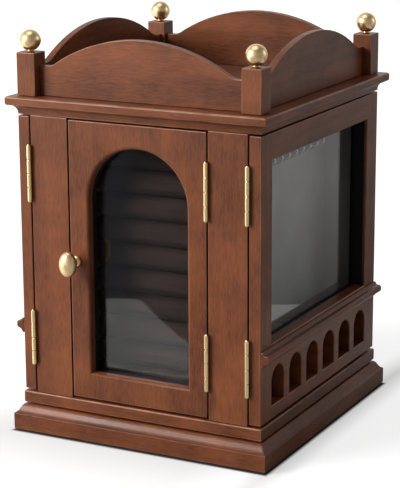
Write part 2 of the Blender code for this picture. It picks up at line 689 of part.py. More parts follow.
def build_gallery(pivot):
    """Four curved rails between square posts, with a brass ball on each post."""
    for name, along_x, sign in (("gallery_rail_front", True, -1), ("gallery_rail_back", True, 1),
                                ("gallery_rail_left", False, -1), ("gallery_rail_right", False, 1)):
        piece(name, lambda bm: add_rail(bm, along_x, sign), "walnut", pivot, 30)
    bore, depth = FINIAL_DOWEL_RADIUS + SEAT_GAP, FINIAL_DOWEL_LENGTH + SEAT_GAP
    for sy, end in ((-1, "front"), (1, "back")):
        for sx, side in ((-1, "left"), (1, "right")):
            x, y = sx * (HALF_WIDTH - POST_SIDE / 2), sy * (HALF_DEPTH - POST_SIDE / 2)
            post = piece(f"post_{end}_{side}", lambda bm: add_post(bm, x, y), "walnut", pivot)
            combine(post, cutter(f"bore_{end}_{side}", lambda bm: add_turned(
                bm, [(bore, -depth), (bore, CUT_OVERRUN)], (x, y, POST_TOP), SMALL_SIDES)))
            piece(f"finial_{end}_{side}", lambda bm: add_finial(bm, x, y), "brass", pivot, 40)


def drawer_cells():
    """Floor and ceiling of each drawer's cell, from the bottom up. Runners lie between the cells."""
    pitch = (CORNICE_BOTTOM - BOARD_TOP) / DRAWER_COUNT
    cells = []
    for i in range(DRAWER_COUNT):
        floor = BOARD_TOP + i * pitch + (RUNNER_THICKNESS / 2 if i else 0)
        ceiling = BOARD_TOP + (i + 1) * pitch - (RUNNER_THICKNESS / 2 if i < DRAWER_COUNT - 1 else 0)
        cells.append((floor, ceiling))
    return cells


def build_divider(side, word, pivot):
    """The felt-covered wall of a necklace compartment, with its catch tray outside and drawer runners inside."""
    inner_back = INNER_FRONT - SEAT_GAP
    low_x, high_x = sorted((side * DIVIDER_INNER, side * DIVIDER_OUTER))
    wall = piece(f"compartment_wall_{word}", lambda bm: add_box(
        bm, (low_x, -inner_back, CASE_BOTTOM), (high_x, inner_back, CASE_TOP)), "grey_felt", pivot)
    cells = drawer_cells()

    def add_carried(bm):
        inner_low, inner_high = sorted((side * (DIVIDER_INNER + GLUE_LAP), side * (DIVIDER_INNER - RUNNER_WIDTH)))
        for (floor, ceiling), (next_floor, next_ceiling) in zip(cells, cells[1:]):
            add_box(bm, (inner_low, inner_back - DRAWER_LENGTH, ceiling), (inner_high, inner_back, next_floor))
        outer_low, outer_high = sorted((side * (DIVIDER_OUTER - GLUE_LAP), side * (DIVIDER_OUTER + CATCH_TRAY_WIDTH)))
        low_z = CASE_BOTTOM + CATCH_TRAY_RISE
        add_open_box(bm, (outer_low, GLUE_LAP - inner_back, low_z),
                     (outer_high, CATCH_TRAY_LENGTH - inner_back, low_z + CATCH_TRAY_HEIGHT), CATCH_TRAY_WALL)

    combine(wall, cutter(f"{word}_wall_fittings", add_carried), "UNION")


def add_ring_pad(bm):
    """Padded ring rolls in one upholstered piece: bulging fronts, slits between them, ends drawn in."""
    room = CASE_TOP - CASE_BOTTOM
    count = int(room / ROLL_PITCH)
    first = CASE_BOTTOM + (room - count * ROLL_PITCH) / 2
    height = ROLL_PITCH - ROLL_PARTING
    crest = [*ROLL_CREST_shares, *[(depth, -rise) for depth, rise in reversed(ROLL_CREST_shares[:-1])]]
    outline = [(0.0, CASE_TOP)]
    for i in reversed(range(count)):
        middle = first + (i + 1 / 2) * ROLL_PITCH
        outline += [(ROLL_DEPTH * depth, middle + height * rise) for depth, rise in crest]
    outline.append((0.0, CASE_BOTTOM))
    half_length = DIVIDER_INNER - SEAT_GAP
    loops = []
    for x, drawn in ((-half_length, 1), (ROLL_END_DRAW - half_length, 0), (half_length - ROLL_END_DRAW, 0),
                     (half_length, 1)):
        loop = [Vector((x, PAD_BACK - ROLL_BACKING - max(depth - drawn * ROLL_END_DRAW, 0), z)) for depth, z in outline]
        loops.append([*loop, Vector((x, PAD_BACK, CASE_BOTTOM)), Vector((x, PAD_BACK, CASE_TOP))])
    add_loft(bm, loops)


def add_hooks(bm, side):
    """A row of bent-wire hooks driven into the rail of one necklace compartment."""
    face = DIVIDER_OUTER + SEAT_GAP + HOOK_RAIL_THICKNESS
    z = CASE_TOP - HOOK_DROP
    wire_sides = SCREW_SIDES - 2
    for i in range(HOOK_COUNT):
        y = (i - (HOOK_COUNT - 1) / 2) * HOOK_PITCH
        path = [(-HOOK_RAIL_THICKNESS / 2, 0.0, 0.0), (HOOK_SHANK, 0.0, 0.0)]
        for k in range(1, ROUND_STEPS + 2):
            angle = math.pi * HOOK_TURN_share * k / (ROUND_STEPS + 1)
            path.append((HOOK_SHANK + HOOK_BEND_RADIUS * math.sin(angle), HOOK_BEND_RADIUS * (1 - math.cos(angle)),
                         angle))
        loops = []
        for out, up, angle in path:
            across = Vector((-math.sin(angle) * side, 0, math.cos(angle)))
            center = Vector((side * (face + out), y, z + up))
            loop = []
            for s in range(wire_sides):
                turn = 2 * math.pi * s / wire_sides
                loop.append(center + Vector((0, HOOK_WIRE_RADIUS * math.cos(turn), 0))
                            + across * (HOOK_WIRE_RADIUS * math.sin(turn)))
            loops.append(loop)
        add_loft(bm, loops)


def build_hook_rail(side, word, pivot):
    """A rail on the compartment wall with its row of hooks."""
    low_x, high_x = sorted((side * (DIVIDER_OUTER + SEAT_GAP), side * (DIVIDER_OUTER + SEAT_GAP + HOOK_RAIL_THICKNESS)))
    reach = (HOOK_COUNT - 1) / 2 * HOOK_PITCH + HOOK_RAIL_END
    z = CASE_TOP - HOOK_DROP
    rail = piece(f"hook_rail_{word}", lambda bm: add_box(
        bm, (low_x, -reach, z - HOOK_RAIL_HEIGHT / 2), (high_x, reach, z + HOOK_RAIL_HEIGHT / 2)),
        "brass", pivot, 40)
    combine(rail, cutter(f"{word}_hooks", lambda bm: add_hooks(bm, side)), "UNION")


def build_case(pivot, leaves):
    """The turning case and all that is fixed in it."""
    wide = BOTTOM_BOARD_OVERHANG
    board = piece("bottom_board", lambda bm: add_box(
        bm, (-HALF_WIDTH - wide, -HALF_DEPTH - wide, BOARD_BOTTOM), (HALF_WIDTH + wide, HALF_DEPTH + wide, BOARD_TOP)),
        "walnut", pivot)
    tips = BOARD_BOTTOM - SEAT_GAP - BEARING_PLATE_THICKNESS + SCREW_LENGTH + SEAT_GAP
    combine(board, cutter("upper_pilot_cutter", lambda bm: add_pilot_holes(bm, BOARD_BOTTOM - CUT_OVERRUN, tips)))
    build_bearing_plate("bearing_upper_plate", -1, pivot)
    build_stiles(pivot)
    for side, word in ((-1, "left"), (1, "right")):
        build_divider(side, word, pivot)
        build_hook_rail(side, word, pivot)
    piece("ring_pad", add_ring_pad, "velvet", pivot, 60)

    inner_x, inner_y = HALF_WIDTH + CORNICE_INNER - SEAT_GAP, HALF_DEPTH + CORNICE_INNER - SEAT_GAP
    piece("top_board", lambda bm: add_box(
        bm, (-inner_x, -inner_y, CORNICE_BOTTOM), (inner_x, inner_y, TRAY_FLOOR)), "walnut_end", pivot)
    piece("cornice_moulding", lambda bm: add_moulding_frame(bm, cornice_profile(), HALF_WIDTH, HALF_DEPTH),
          "walnut", pivot, 30)
    build_gallery(pivot)
    place_leaves("left_door", "fixed_leaf", leaves[1, True], -SIDE_GAP_MID, pivot)
    place_leaves("front_door", "fixed_leaf", leaves[1, True], FRONT_GAP_MID, pivot)
    place_leaves("right_door", "fixed_leaf", leaves[-1, True], SIDE_GAP_MID, pivot)


# Doors


def add_knob(bm, x, z, face, out):
    """An oval knob on a round rose. face is the plane that it stands on and out is the way it points."""
    sections = [
        (ROSE_RADIUS, ROSE_RADIUS, SEAT_GAP),
        (ROSE_RADIUS, ROSE_RADIUS, ROSE_EDGE),
        (ROSE_RADIUS - ROSE_EDGE / 2, ROSE_RADIUS - ROSE_EDGE / 2, ROSE_THICKNESS),
        (KNOB_NECK_RADIUS, KNOB_NECK_RADIUS, ROSE_THICKNESS + SEAT_GAP),
        (KNOB_NECK_RADIUS, KNOB_NECK_RADIUS, KNOB_REACH - KNOB_HALF_DEPTH),
    ]
    start = math.asin(KNOB_NECK_RADIUS / KNOB_HALF_WIDTH)
    for i in range(1, BALL_STEPS):
        angle = start + (math.pi - start) * i / BALL_STEPS
        sections.append((KNOB_HALF_WIDTH * math.sin(angle), KNOB_HALF_HEIGHT * math.sin(angle),
                         KNOB_REACH - KNOB_HALF_DEPTH * math.cos(angle)))
    loops = []
    for across, tall, away in sections:
        loops.append([Vector((x + across * math.cos(2 * math.pi * i / KNOB_SIDES), face + out * away,
                              z + tall * math.sin(2 * math.pi * i / KNOB_SIDES))) for i in range(KNOB_SIDES)])
    add_loft(bm, loops)


def build_front_door(leaves):
    """The arched glass door, hung on the right."""
    pivot = make_pivot("front_door_pivot", (FRONT_GAP_MID, HINGE_AXIS_Y, DOOR_BOTTOM))
    thick, over, edge = STILE_THICKNESS, CUT_OVERRUN, FRONT_WINDOW_ROUND
    panel = piece("front_door_panel", lambda bm: add_box(
        bm, (-OPENING_HALF, -HALF_DEPTH, DOOR_BOTTOM), (OPENING_HALF, -INNER_FRONT, DOOR_TOP)), "walnut", pivot)
    section = [(edge, -over), (edge, 0)]
    for i in range(1, ROUND_STEPS + 1):
        angle = math.pi / 2 * i / ROUND_STEPS
        section.append((edge * (1 - math.sin(angle)), edge * (1 - math.cos(angle))))
    section.append((0, thick + over))
    combine(panel, cutter("front_window_cutter", lambda bm: add_section(
        bm, arch_outline, FRONT_WINDOW, section, front_place)))
    combine(panel, cutter("front_door_mortises", lambda bm: add_mortises(bm, FRONT_GAP_MID, -1)))

    glass_front = thick + SEAT_GAP
    glass_back = glass_front + GLASS_THICKNESS
    piece("front_door_glass", lambda bm: add_section(
        bm, arch_outline, FRONT_WINDOW, [(GLASS_LAP, glass_front), (GLASS_LAP, glass_back)], front_place),
        "glass", pivot)
    hold = GLASS_LAP + SEAT_GAP
    bead = [(hold, glass_front), (BEAD_WIDTH, glass_front), (BEAD_WIDTH, glass_back + BEAD_BACK),
            (BEAD_LIP, glass_back + BEAD_BACK), (BEAD_LIP, glass_back + SEAT_GAP), (hold, glass_back + SEAT_GAP)]
    piece("front_door_glass_bead", lambda bm: add_section(bm, arch_outline, FRONT_WINDOW, bead, front_place, True),
          "black_lining", pivot, 30)
    piece("front_door_knob", lambda bm: add_knob(
        bm, KNOB_EDGE_DISTANCE - OPENING_HALF, DOOR_BOTTOM + KNOB_RISE, -HALF_DEPTH, -1), "brass", pivot, 40)
    place_leaves("front_door", "moving_leaf", leaves[-1, False], FRONT_GAP_MID, pivot)


def arch_windows():
    """The openings of the arcade, as (low y, high y, low z, high z)."""
    sill = DOOR_BOTTOM + ARCH_SILL
    windows = []
    for i in range(ARCH_COUNT):
        y = (i - (ARCH_COUNT - 1) / 2) * ARCH_PITCH
        windows.append((y - ARCH_WIDTH / 2, y + ARCH_WIDTH / 2, sill, sill + ARCH_HEIGHT))
    return windows


def build_side_door(side, word, leaves):
    """A full-height glazed door over an arcade, hung at the front corner."""
    pivot = make_pivot(f"{word}_door_pivot", (side * SIDE_GAP_MID, HINGE_AXIS_Y, DOOR_BOTTOM))
    place, thick, over = side_place(side), SIDE_DOOR_THICKNESS, CUT_OVERRUN
    low_x, high_x = sorted((side * (HALF_WIDTH - thick), side * HALF_WIDTH))
    frame = piece(f"{word}_door_frame", lambda bm: add_box(
        bm, (low_x, -HALF_DEPTH, DOOR_BOTTOM), (high_x, HALF_DEPTH, DOOR_TOP)), "walnut", pivot)
    edge = WINDOW_CHAMFER
    section = [(edge, -over), (edge, 0), (0, edge), (0, thick + over)]
    combine(frame, cutter(f"{word}_window_cutter", lambda bm: add_section(
        bm, rectangle_outline, SIDE_WINDOW, section, place)))

    def add_arches(bm):
        for window in arch_windows():
            add_section(bm, arch_outline, window, section, place)

    combine(frame, cutter(f"{word}_arcade_cutter", add_arches))
    combine(frame, cutter(f"{word}_door_mortises", lambda bm: add_mortises(bm, side * SIDE_GAP_MID, side)))

    start = thick + SEAT_GAP
    glass_front = start + SIDE_GLASS_RECESS
    glass_back = glass_front + GLASS_THICKNESS
    piece(f"{word}_door_glass", lambda bm: add_section(
        bm, rectangle_outline, SIDE_WINDOW, [(GLASS_LAP, glass_front), (GLASS_LAP, glass_back)], place),
        "glass", pivot)
    hold = GLASS_LAP + SEAT_GAP
    channel = [
        (0, start), (BEAD_WIDTH, start), (BEAD_WIDTH, glass_back + BEAD_BACK), (BEAD_LIP, glass_back + BEAD_BACK),
        (BEAD_LIP, glass_back + SEAT_GAP), (hold, glass_back + SEAT_GAP), (hold, glass_front - SEAT_GAP),
        (0, glass_front - SEAT_GAP),
    ]
    liner = piece(f"{word}_door_liner", lambda bm: add_section(
        bm, rectangle_outline, SIDE_WINDOW, channel, place, True), "black_lining", pivot)
    arches = arch_windows()
    margin = LINER_MARGIN
    backing = (arches[0][0] - margin, arches[-1][1] + margin, arches[0][2] - margin,
               SIDE_WINDOW[2] - BEAD_WIDTH + GLUE_LAP)
    combine(liner, cutter(f"{word}_liner_backing", lambda bm: add_section(
        bm, rectangle_outline, backing, [(0, start), (0, start + LINER_THICKNESS)], place)), "UNION")
    foot = DOOR_BOTTOM + LEDGE_RISE
    profile = [(side * (HALF_WIDTH + SEAT_GAP + LEDGE_OVERHANG * out), foot + LEDGE_HEIGHT * up)
               for out, up in LEDGE_shares]
    piece(f"{word}_door_ledge", lambda bm: add_loft(
        bm, [[Vector((x, y, z)) for x, z in profile] for y in (-HALF_DEPTH, HALF_DEPTH)]), "walnut", pivot, 30)
    place_leaves(f"{word}_door", "moving_leaf", leaves[side, False], side * SIDE_GAP_MID, pivot)


# Drawers


def build_drawer(index, word):
    """One drawer: an open box whose inset front is its fourth wall, and its knob."""
    cells = drawer_cells()
    floor, ceiling = cells[index]
    low = DOOR_BOTTOM if index == 0 else (cells[index - 1][1] + floor) / 2 + DRAWER_PARTING / 2
    high = DOOR_TOP if index == len(cells) - 1 else (ceiling + cells[index + 1][0]) / 2 - DRAWER_PARTING / 2
    pivot = make_pivot(f"{word}_drawer_pivot", (0, HALF_DEPTH, (low + high) / 2))
    drawer = piece(f"{word}_drawer", lambda bm: add_box(
        bm, (-OPENING_HALF, INNER_FRONT, low), (OPENING_HALF, HALF_DEPTH, high)), "walnut", pivot)
    half = DIVIDER_INNER - DRAWER_SIDE_CLEARANCE
    combine(drawer, cutter(f"{word}_drawer_tray", lambda bm: add_open_box(
        bm, (-half, INNER_FRONT - DRAWER_LENGTH, floor + SEAT_GAP),
        (half, INNER_FRONT + DRAWER_WALL / 2, ceiling - DRAWER_HEAD_CLEARANCE), DRAWER_WALL)), "UNION")
    piece(f"{word}_drawer_knob", lambda bm: add_knob(bm, 0, (low + high) / 2, HALF_DEPTH, 1), "brass", pivot, 40)


def main():
    """Builds every piece at rest, with all doors and drawers closed."""
    clear_scene()
    leaves = {(side, fixed): leaf_mesh(side, fixed) for side in (-1, 1) for fixed in (True, False)}
    build_base()
    build_ball_cage()
    carousel = make_pivot("carousel_pivot", (0, 0, BOARD_BOTTOM))
    build_case(carousel, leaves)
    build_front_door(leaves)
    for side, word in ((-1, "left"), (1, "right")):
        build_side_door(side, word, leaves)
    for index, word in enumerate(("lower", "middle", "upper")):
        build_drawer(index, word)


main()
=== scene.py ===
"""Looks of the rotating jewelry cabinet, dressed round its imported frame.

A walnut tower turns on a moulded plinth. Its front is an arched glass door over velvet ring rolls, each side
is a glazed door with an arcade and a ledge, three drawers fill the back, and curved rails with brass balls
close the tray on top. Metres, +Z up, front towards -Y, as in the frame.
"""

import json
import logging
from collections.abc import Callable, Sequence
from dataclasses import dataclass
from enum import Enum
from functools import cache, cached_property, partial, reduce
from math import asin, atan2, copysign, cos, pi, radians, sin, sqrt

import bmesh
import bpy
from mathutils import Matrix, Vector

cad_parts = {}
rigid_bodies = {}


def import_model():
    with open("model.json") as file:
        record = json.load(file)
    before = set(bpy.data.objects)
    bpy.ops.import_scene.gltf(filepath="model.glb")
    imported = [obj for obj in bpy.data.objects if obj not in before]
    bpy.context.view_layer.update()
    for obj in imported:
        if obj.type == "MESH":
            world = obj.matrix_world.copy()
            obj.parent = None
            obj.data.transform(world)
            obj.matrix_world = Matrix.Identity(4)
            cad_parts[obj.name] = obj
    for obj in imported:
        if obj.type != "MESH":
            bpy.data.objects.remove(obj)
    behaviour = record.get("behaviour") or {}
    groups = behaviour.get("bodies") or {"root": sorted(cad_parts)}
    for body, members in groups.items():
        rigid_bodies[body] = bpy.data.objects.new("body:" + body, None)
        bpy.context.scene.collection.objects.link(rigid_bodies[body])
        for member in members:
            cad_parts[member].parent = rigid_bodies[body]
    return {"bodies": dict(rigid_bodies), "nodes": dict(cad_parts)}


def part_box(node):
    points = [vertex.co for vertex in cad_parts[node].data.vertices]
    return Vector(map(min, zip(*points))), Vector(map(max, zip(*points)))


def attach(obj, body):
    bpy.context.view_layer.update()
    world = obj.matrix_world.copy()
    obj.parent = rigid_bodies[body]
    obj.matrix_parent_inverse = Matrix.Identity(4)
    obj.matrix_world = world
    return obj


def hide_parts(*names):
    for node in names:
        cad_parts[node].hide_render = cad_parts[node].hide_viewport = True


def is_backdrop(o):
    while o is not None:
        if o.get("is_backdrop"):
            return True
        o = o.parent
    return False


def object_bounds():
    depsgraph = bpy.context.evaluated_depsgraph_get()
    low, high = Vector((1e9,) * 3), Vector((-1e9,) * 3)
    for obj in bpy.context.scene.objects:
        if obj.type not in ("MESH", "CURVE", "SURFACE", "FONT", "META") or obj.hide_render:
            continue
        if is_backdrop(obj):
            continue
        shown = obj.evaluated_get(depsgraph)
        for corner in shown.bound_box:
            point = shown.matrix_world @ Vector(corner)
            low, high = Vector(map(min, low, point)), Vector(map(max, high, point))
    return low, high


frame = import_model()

CAD_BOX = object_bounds()
LOG = logging.getLogger("jewelry_cabinet")

Obj, BMesh, Material = bpy.types.Object, bmesh.types.BMesh, bpy.types.Material
Tree, Node, Socket = bpy.types.NodeTree, bpy.types.Node, bpy.types.NodeSocket
Pair = tuple[float, float]
Triple = tuple[float, float, float]
Colour = tuple[float, float, float]
Outline = list[Pair]
Place = Callable[[float, float, float], Vector]
Fill = Callable[[BMesh], None]

SEAT_GAP = 0.0003
MERGE = 0.000001
CUT_OVERRUN = 0.002
EDGE_ATTRIBUTE = "edge_mask"
BOARD_ATTRIBUTE = "board"
JOINT_ATTRIBUTE = "joint_mask"
NARROW_FACE = 0.0013
WINDOW_MARGIN = 0.012
LEAST_EDGE_BEND = radians(14)
# Share of the lighter edge colour on edges that do not face up; the rest goes to edges facing up, as a painted
# highlight
SIDEWAYS_EDGE_SHARE = 0.45
END_GRAIN = 0.4
JOINT_FACING = 0.75
REVEAL_LEAN = 0.1
SMOOTH_ANGLE = radians(38)
RIM_MIDDLE = 0.3
CORNER_STEPS = 4
ROUND_SIDES = 56
SIDES = ((-1, "left"), (1, "right"))
POLE_SHARE = 0.02


class Axis(Enum):
    """A direction in the frame."""

    X = 0
    Y = 1
    Z = 2


# Shapes


def link(name: str, data: bpy.types.ID) -> Obj:
    """Puts a mesh, lamp or camera in the scene as an object at the origin."""
    obj = bpy.data.objects.new(name, data)
    bpy.context.scene.collection.objects.link(obj)
    return obj


def make(name: str, *fills: Fill) -> Obj:
    """Makes an object from functions that fill a bmesh.

    Args:
        name: Name of the new object.
        fills: Functions that each add a closed shape.

    Returns:
        The new object, with its faces pointing out.
    """
    bm = bmesh.new()
    for fill in fills:
        fill(bm)
    bmesh.ops.remove_doubles(bm, verts=bm.verts, dist=MERGE)
    bmesh.ops.recalc_face_normals(bm, faces=bm.faces)
    mesh = bpy.data.meshes.new(name)
    bm.to_mesh(mesh)
    bm.free()
    return link(name, mesh)


def loft(bm: BMesh, loops: Sequence[Sequence[Vector]], ring: bool = False) -> None:
    """Bridges loops of equally many points.

    Args:
        bm: The mesh that is filled.
        loops: Loops of points, in order.
        ring: True closes the last loop to the first, and False caps both ends.
    """
    rows = [[bm.verts.new(point) for point in loop] for loop in loops]
    pairs = list(zip(rows, rows[1:]))
    if ring:
        pairs.append((rows[-1], rows[0]))
    for first, second in pairs:
        for i, corner in enumerate(first):
            j = (i + 1) % len(first)
            bm.faces.new((corner, first[j], second[j], second[i]))
    if not ring:
        bm.faces.new(rows[0])
        bm.faces.new(list(reversed(rows[-1])))


def slab(outline: Outline, low: float, high: float) -> Fill:
    """A slab with an outline seen from above, between two heights."""
    return lambda bm: loft(bm, [[Vector((x, y, z)) for x, y in outline] for z in (low, high)])


def turned(profile: Sequence[Pair], centre: Vector, sides: int, ring: bool = False) -> Fill:
    """Turns (radius, height) points about Z.

    Args:
        profile: Points from one end to the other, or round a ring's section.
        centre: Where the profile's own zero lies.
        sides: Number of sides.
        ring: True where the profile closes on itself.

    Returns:
        A function that adds the shape.
    """
    def fill(bm: BMesh) -> None:
        loops = []
        for radius, height in profile:
            loops.append([centre + Vector((radius * cos(a), radius * sin(a), height))
                          for a in (2 * pi * i / sides for i in range(sides))])
        loft(bm, loops, ring)

    return fill


def eased_box(low: Sequence[float], high: Sequence[float], radius: float, steps: int = 3) -> Fill:
    """A box with rounded edges.

    Args:
        low: Lowest corner.
        high: Highest corner.
        radius: Radius of every edge.
        steps: Steps round an edge.

    Returns:
        A function that adds the box.
    """
    def fill(bm: BMesh) -> None:
        size, middle = Vector(high) - Vector(low), (Vector(low) + Vector(high)) / 2
        made = bmesh.ops.create_cube(bm, size=1, matrix=Matrix.Translation(middle) @ Matrix.Diagonal((*size, 1)))
        edges = {edge for vert in made["verts"] for edge in vert.link_edges}
        bmesh.ops.bevel(bm, geom=list(edges), offset=radius, segments=steps, profile=0.5, affect="EDGES")

    return fill


def offset_outline(points: Outline, distance: float) -> Outline:
    """Moves every side of a closed outline inwards.

    Args:
        points: The outline, counter-clockwise.
        distance: How far each side moves in.

    Returns:
        As many points, at the mitres of the moved sides.
    """
    count, moved = len(points), []
    for i, (u, v) in enumerate(points):
        before, after = points[i - 1], points[(i + 1) % count]
        first = Vector((u - before[0], v - before[1])).normalized()
        second = Vector((after[0] - u, after[1] - v)).normalized()
        inward = Vector((-first.y - second.y, first.x + second.x))
        share = max(inward.length_squared / 2, MERGE)
        moved.append((u + inward.x * distance / share, v + inward.y * distance / share))
    return moved


def eased_plate(outline: Outline, place: Place, thickness: float, radius: float, steps: int = 4) -> Fill:
    """A plate cut to an outline, with both rims rounded.

    Args:
        outline: The plate's outline, counter-clockwise.
        place: Gives a point from the outline's two coordinates and a depth.
        thickness: How thick the plate is.
        radius: Radius of both rims.
        steps: Steps round a rim.

    Returns:
        A function that adds the plate.
    """
    rim = [(radius * (1 - sin(a)), radius * (1 - cos(a))) for a in quarter_turn(steps)]
    sections = [*rim, *[(inset, thickness - depth) for inset, depth in reversed(rim)]]
    return sweep(place, partial(offset_outline, outline), sections)


def smooth_line(points: Sequence[Pair], steps: int) -> list[Pair]:
    """Runs a smooth curve through points.

    Args:
        points: Points that the curve passes through, in order.
        steps: Steps between two of them.

    Returns:
        Points along the curve, both ends included.
    """
    line = []
    padded = [points[0], *points, points[-1]]
    for before, start, end, after in zip(padded, padded[1:], padded[2:], padded[3:]):
        for i in range(steps):
            t = i / steps
            line.append(tuple(
                0.5 * (2 * b + (c - a) * t + (2 * a - 5 * b + 4 * c - d) * t * t + (3 * b - a - 3 * c + d) * t ** 3)
                for a, b, c, d in zip(before, start, end, after)))
    return [*line, points[-1]]


def quarter_turn(steps: int) -> list[float]:
    """Angles from 0 to a quarter turn."""
    return [pi / 2 * i / steps for i in range(steps + 1)]


def quarter_round(centre: Pair, radius: float, start: float, steps: int) -> list[Pair]:
    """Points along a quarter turn, counter-clockwise from the start angle."""
    return [(centre[0] + radius * cos(start + a), centre[1] + radius * sin(start + a))
            for a in quarter_turn(steps)]


def arch_outline(window: Sequence[float], offset: float, steps: int) -> Outline:
    """Outline of a round-headed opening.

    Args:
        window: Left, right, bottom and top of the opening.
        offset: How far the outline lies outside the opening.
        steps: Steps round the head.

    Returns:
        The outline, counter-clockwise from its lower left corner.
    """
    left, right, bottom, top = window[0] - offset, window[1] + offset, window[2] - offset, window[3] + offset
    radius, middle = (right - left) / 2, (left + right) / 2
    spring = top - radius
    head = [(middle + radius * cos(pi * i / steps), spring + radius * sin(pi * i / steps))
            for i in range(steps + 1)]
    return [(left, bottom), (right, bottom), *head]


def square_outline(window: Sequence[float], offset: float) -> Outline:
    """Outline of a square-cornered opening, offset to the outside."""
    left, right, bottom, top = window[0] - offset, window[1] + offset, window[2] - offset, window[3] + offset
    return [(left, bottom), (right, bottom), (right, top), (left, top)]


def rounded_cut(edge: float, thickness: float, steps: int, *bare: float) -> list[Pair]:
    """Section of a cutter that leaves a rounded front edge, as (offset, depth) points, with rows at bare depths."""
    rounding = [(edge * (1 - sin(a)), edge * (1 - cos(a))) for a in quarter_turn(steps)]
    return [(edge, -CUT_OVERRUN), *rounding, *[(0.0, depth) for depth in bare], (0.0, thickness + CUT_OVERRUN)]


def sweep(place: Place, outline: Callable[[float], Outline], section: Sequence[Pair], ring: bool = False) -> Fill:
    """Sweeps a section round an outline.

    Args:
        place: Gives a point from the outline's two coordinates and a depth.
        outline: Gives the outline at an offset.
        section: The section's points, as offset and depth.
        ring: True closes the section on itself.

    Returns:
        A function that adds the shape.
    """
    return lambda bm: loft(bm, [[place(u, v, depth) for u, v in outline(offset)] for offset, depth in section], ring)


def open_box(corners: Outline, low: float, high: float, wall: float, rim: float) -> Fill:
    """A box without a lid, its rim rounded.

    Args:
        corners: Its outer corners seen from above, counter-clockwise.
        low: Height of its foot.
        high: Height of its rim.
        wall: Thickness of its walls and floor.
        rim: Radius of the rim's edges.

    Returns:
        A function that adds the box.
    """
    ease = rim * RIM_MIDDLE
    rows = [(0, low), (0, high - rim), (ease, high - ease), (rim, high), (wall - rim, high),
            (wall - ease, high - ease), (wall, high - rim), (wall, low + wall)]
    return sweep(lambda *place: Vector(place), partial(offset_outline, corners), rows)


def box_lining(corners: Outline, low: float, wall: float, thickness: float, edge: float) -> Fill:
    """A felt sheet on the floor of an open box.

    Args:
        corners: The box's outer corners.
        low: Height of its foot.
        wall: Thickness of its walls and floor.
        thickness: How thick the felt is, with the gap under it.
        edge: Radius of the felt's edges.

    Returns:
        A function that adds the sheet.
    """
    (x0, y0), (x1, y1) = corners[0], corners[2]
    return eased_box((x0 + wall + SEAT_GAP, y0 + wall + SEAT_GAP, low + wall + SEAT_GAP),
                     (x1 - wall - SEAT_GAP, y1 - wall - SEAT_GAP, low + wall + thickness), edge, 2)


def settle(obj: Obj) -> Obj:
    """Gives an object with live modifiers a plain mesh in their place, and returns it."""
    bpy.context.view_layer.update()
    graph = bpy.context.evaluated_depsgraph_get()
    mesh = bpy.data.meshes.new_from_object(obj.evaluated_get(graph), preserve_all_data_layers=True, depsgraph=graph)
    obj.modifiers.clear()
    obj.data = mesh
    return obj


def combine(obj: Obj, cutters: Sequence[Obj], operation: str) -> Obj:
    """Joins or cuts an object with others by exact Booleans.

    Args:
        obj: The object that is kept.
        cutters: The objects that go.
        operation: DIFFERENCE or UNION.

    Returns:
        The same object, with a plain mesh.
    """
    for other in cutters:
        modifier = obj.modifiers.new(other.name, "BOOLEAN")
        modifier.operation = operation
        modifier.solver = "EXACT"
        modifier.object = other
    settle(obj)
    for other in cutters:
        bpy.data.objects.remove(other, do_unlink=True)
    return obj


def mark_faces(obj: Obj, board: float, joints: Sequence[tuple[Axis, int]] = (),
               grain: Axis | None = None) -> None:
    """Notes which faces are narrow rounded edges or lie in a joint, and which board the piece was cut from.

    Args:
        obj: The piece.
        board: Number of the board, which shifts its grain.
        joints: Sides of the piece that face a joint, as an axis and a sign, painted dark as shade in the gap.
        grain: The way its grain runs, where its ends show darker.
    """
    mesh = obj.data
    bm = bmesh.new()
    bm.from_mesh(mesh)
    rubbed_and_lit, hidden = [], []
    ends = {(axis, sign): max(sign * vert.co[axis.value] for vert in bm.verts) for axis, sign in joints}
    for face in bm.faces:
        middle = face.calc_center_median()
        in_joint = any(
            sign * face.normal[axis.value] > JOINT_FACING and sign * middle[axis.value] > end - NARROW_FACE / 2
            for (axis, sign), end in ends.items())
        across = grain is not None and abs(face.normal[grain.value]) > JOINT_FACING
        # 1 marks faces in a joint, painted dark as shade in the gap; END_GRAIN marks faces across the grain, as
        # darker end grain
        hidden.append(1.0 if in_joint else END_GRAIN if across else 0.0)
        longest = max(edge.calc_length() for edge in face.edges)
        narrow = face.calc_area() < NARROW_FACE * longest
        bends = [edge.calc_face_angle_signed(0) for edge in face.edges if edge.calc_length() > longest / 2]
        rounded = narrow and sum(bend > LEAST_EDGE_BEND for bend in bends) > 1
        # Rounded edges get the lighter edge colour, most where they face up: rubbed finish plus a painted highlight
        # where light from above catches them
        rubbed_and_lit.append(SIDEWAYS_EDGE_SHARE + (1 - SIDEWAYS_EDGE_SHARE) * max(face.normal.z, 0.0) if rounded else 0.0)
    bm.free()
    for name, values in ((EDGE_ATTRIBUTE, rubbed_and_lit), (JOINT_ATTRIBUTE, hidden), (BOARD_ATTRIBUTE, [board] * len(rubbed_and_lit))):
        mesh.attributes.new(name, "FLOAT", "FACE").data.foreach_set("value", values)


def smooth(obj: Obj) -> None:
    """Shades a piece smooth up to SMOOTH_ANGLE, with its large faces kept flat."""
    obj.data.shade_smooth()
    obj.data.set_sharp_from_angle(angle=SMOOTH_ANGLE)
    obj.modifiers.new("flat_faces", "WEIGHTED_NORMAL").keep_sharp = True
    settle(obj)


def extent(obj: Obj) -> tuple[Vector, Vector]:
    """Lowest and highest corner of a piece."""
    places = [vert.co for vert in obj.data.vertices]
    return tuple(Vector([pick(place[i] for place in places) for i in range(3)]) for pick in (min, max))


# Geometry Nodes for what repeats or follows a path


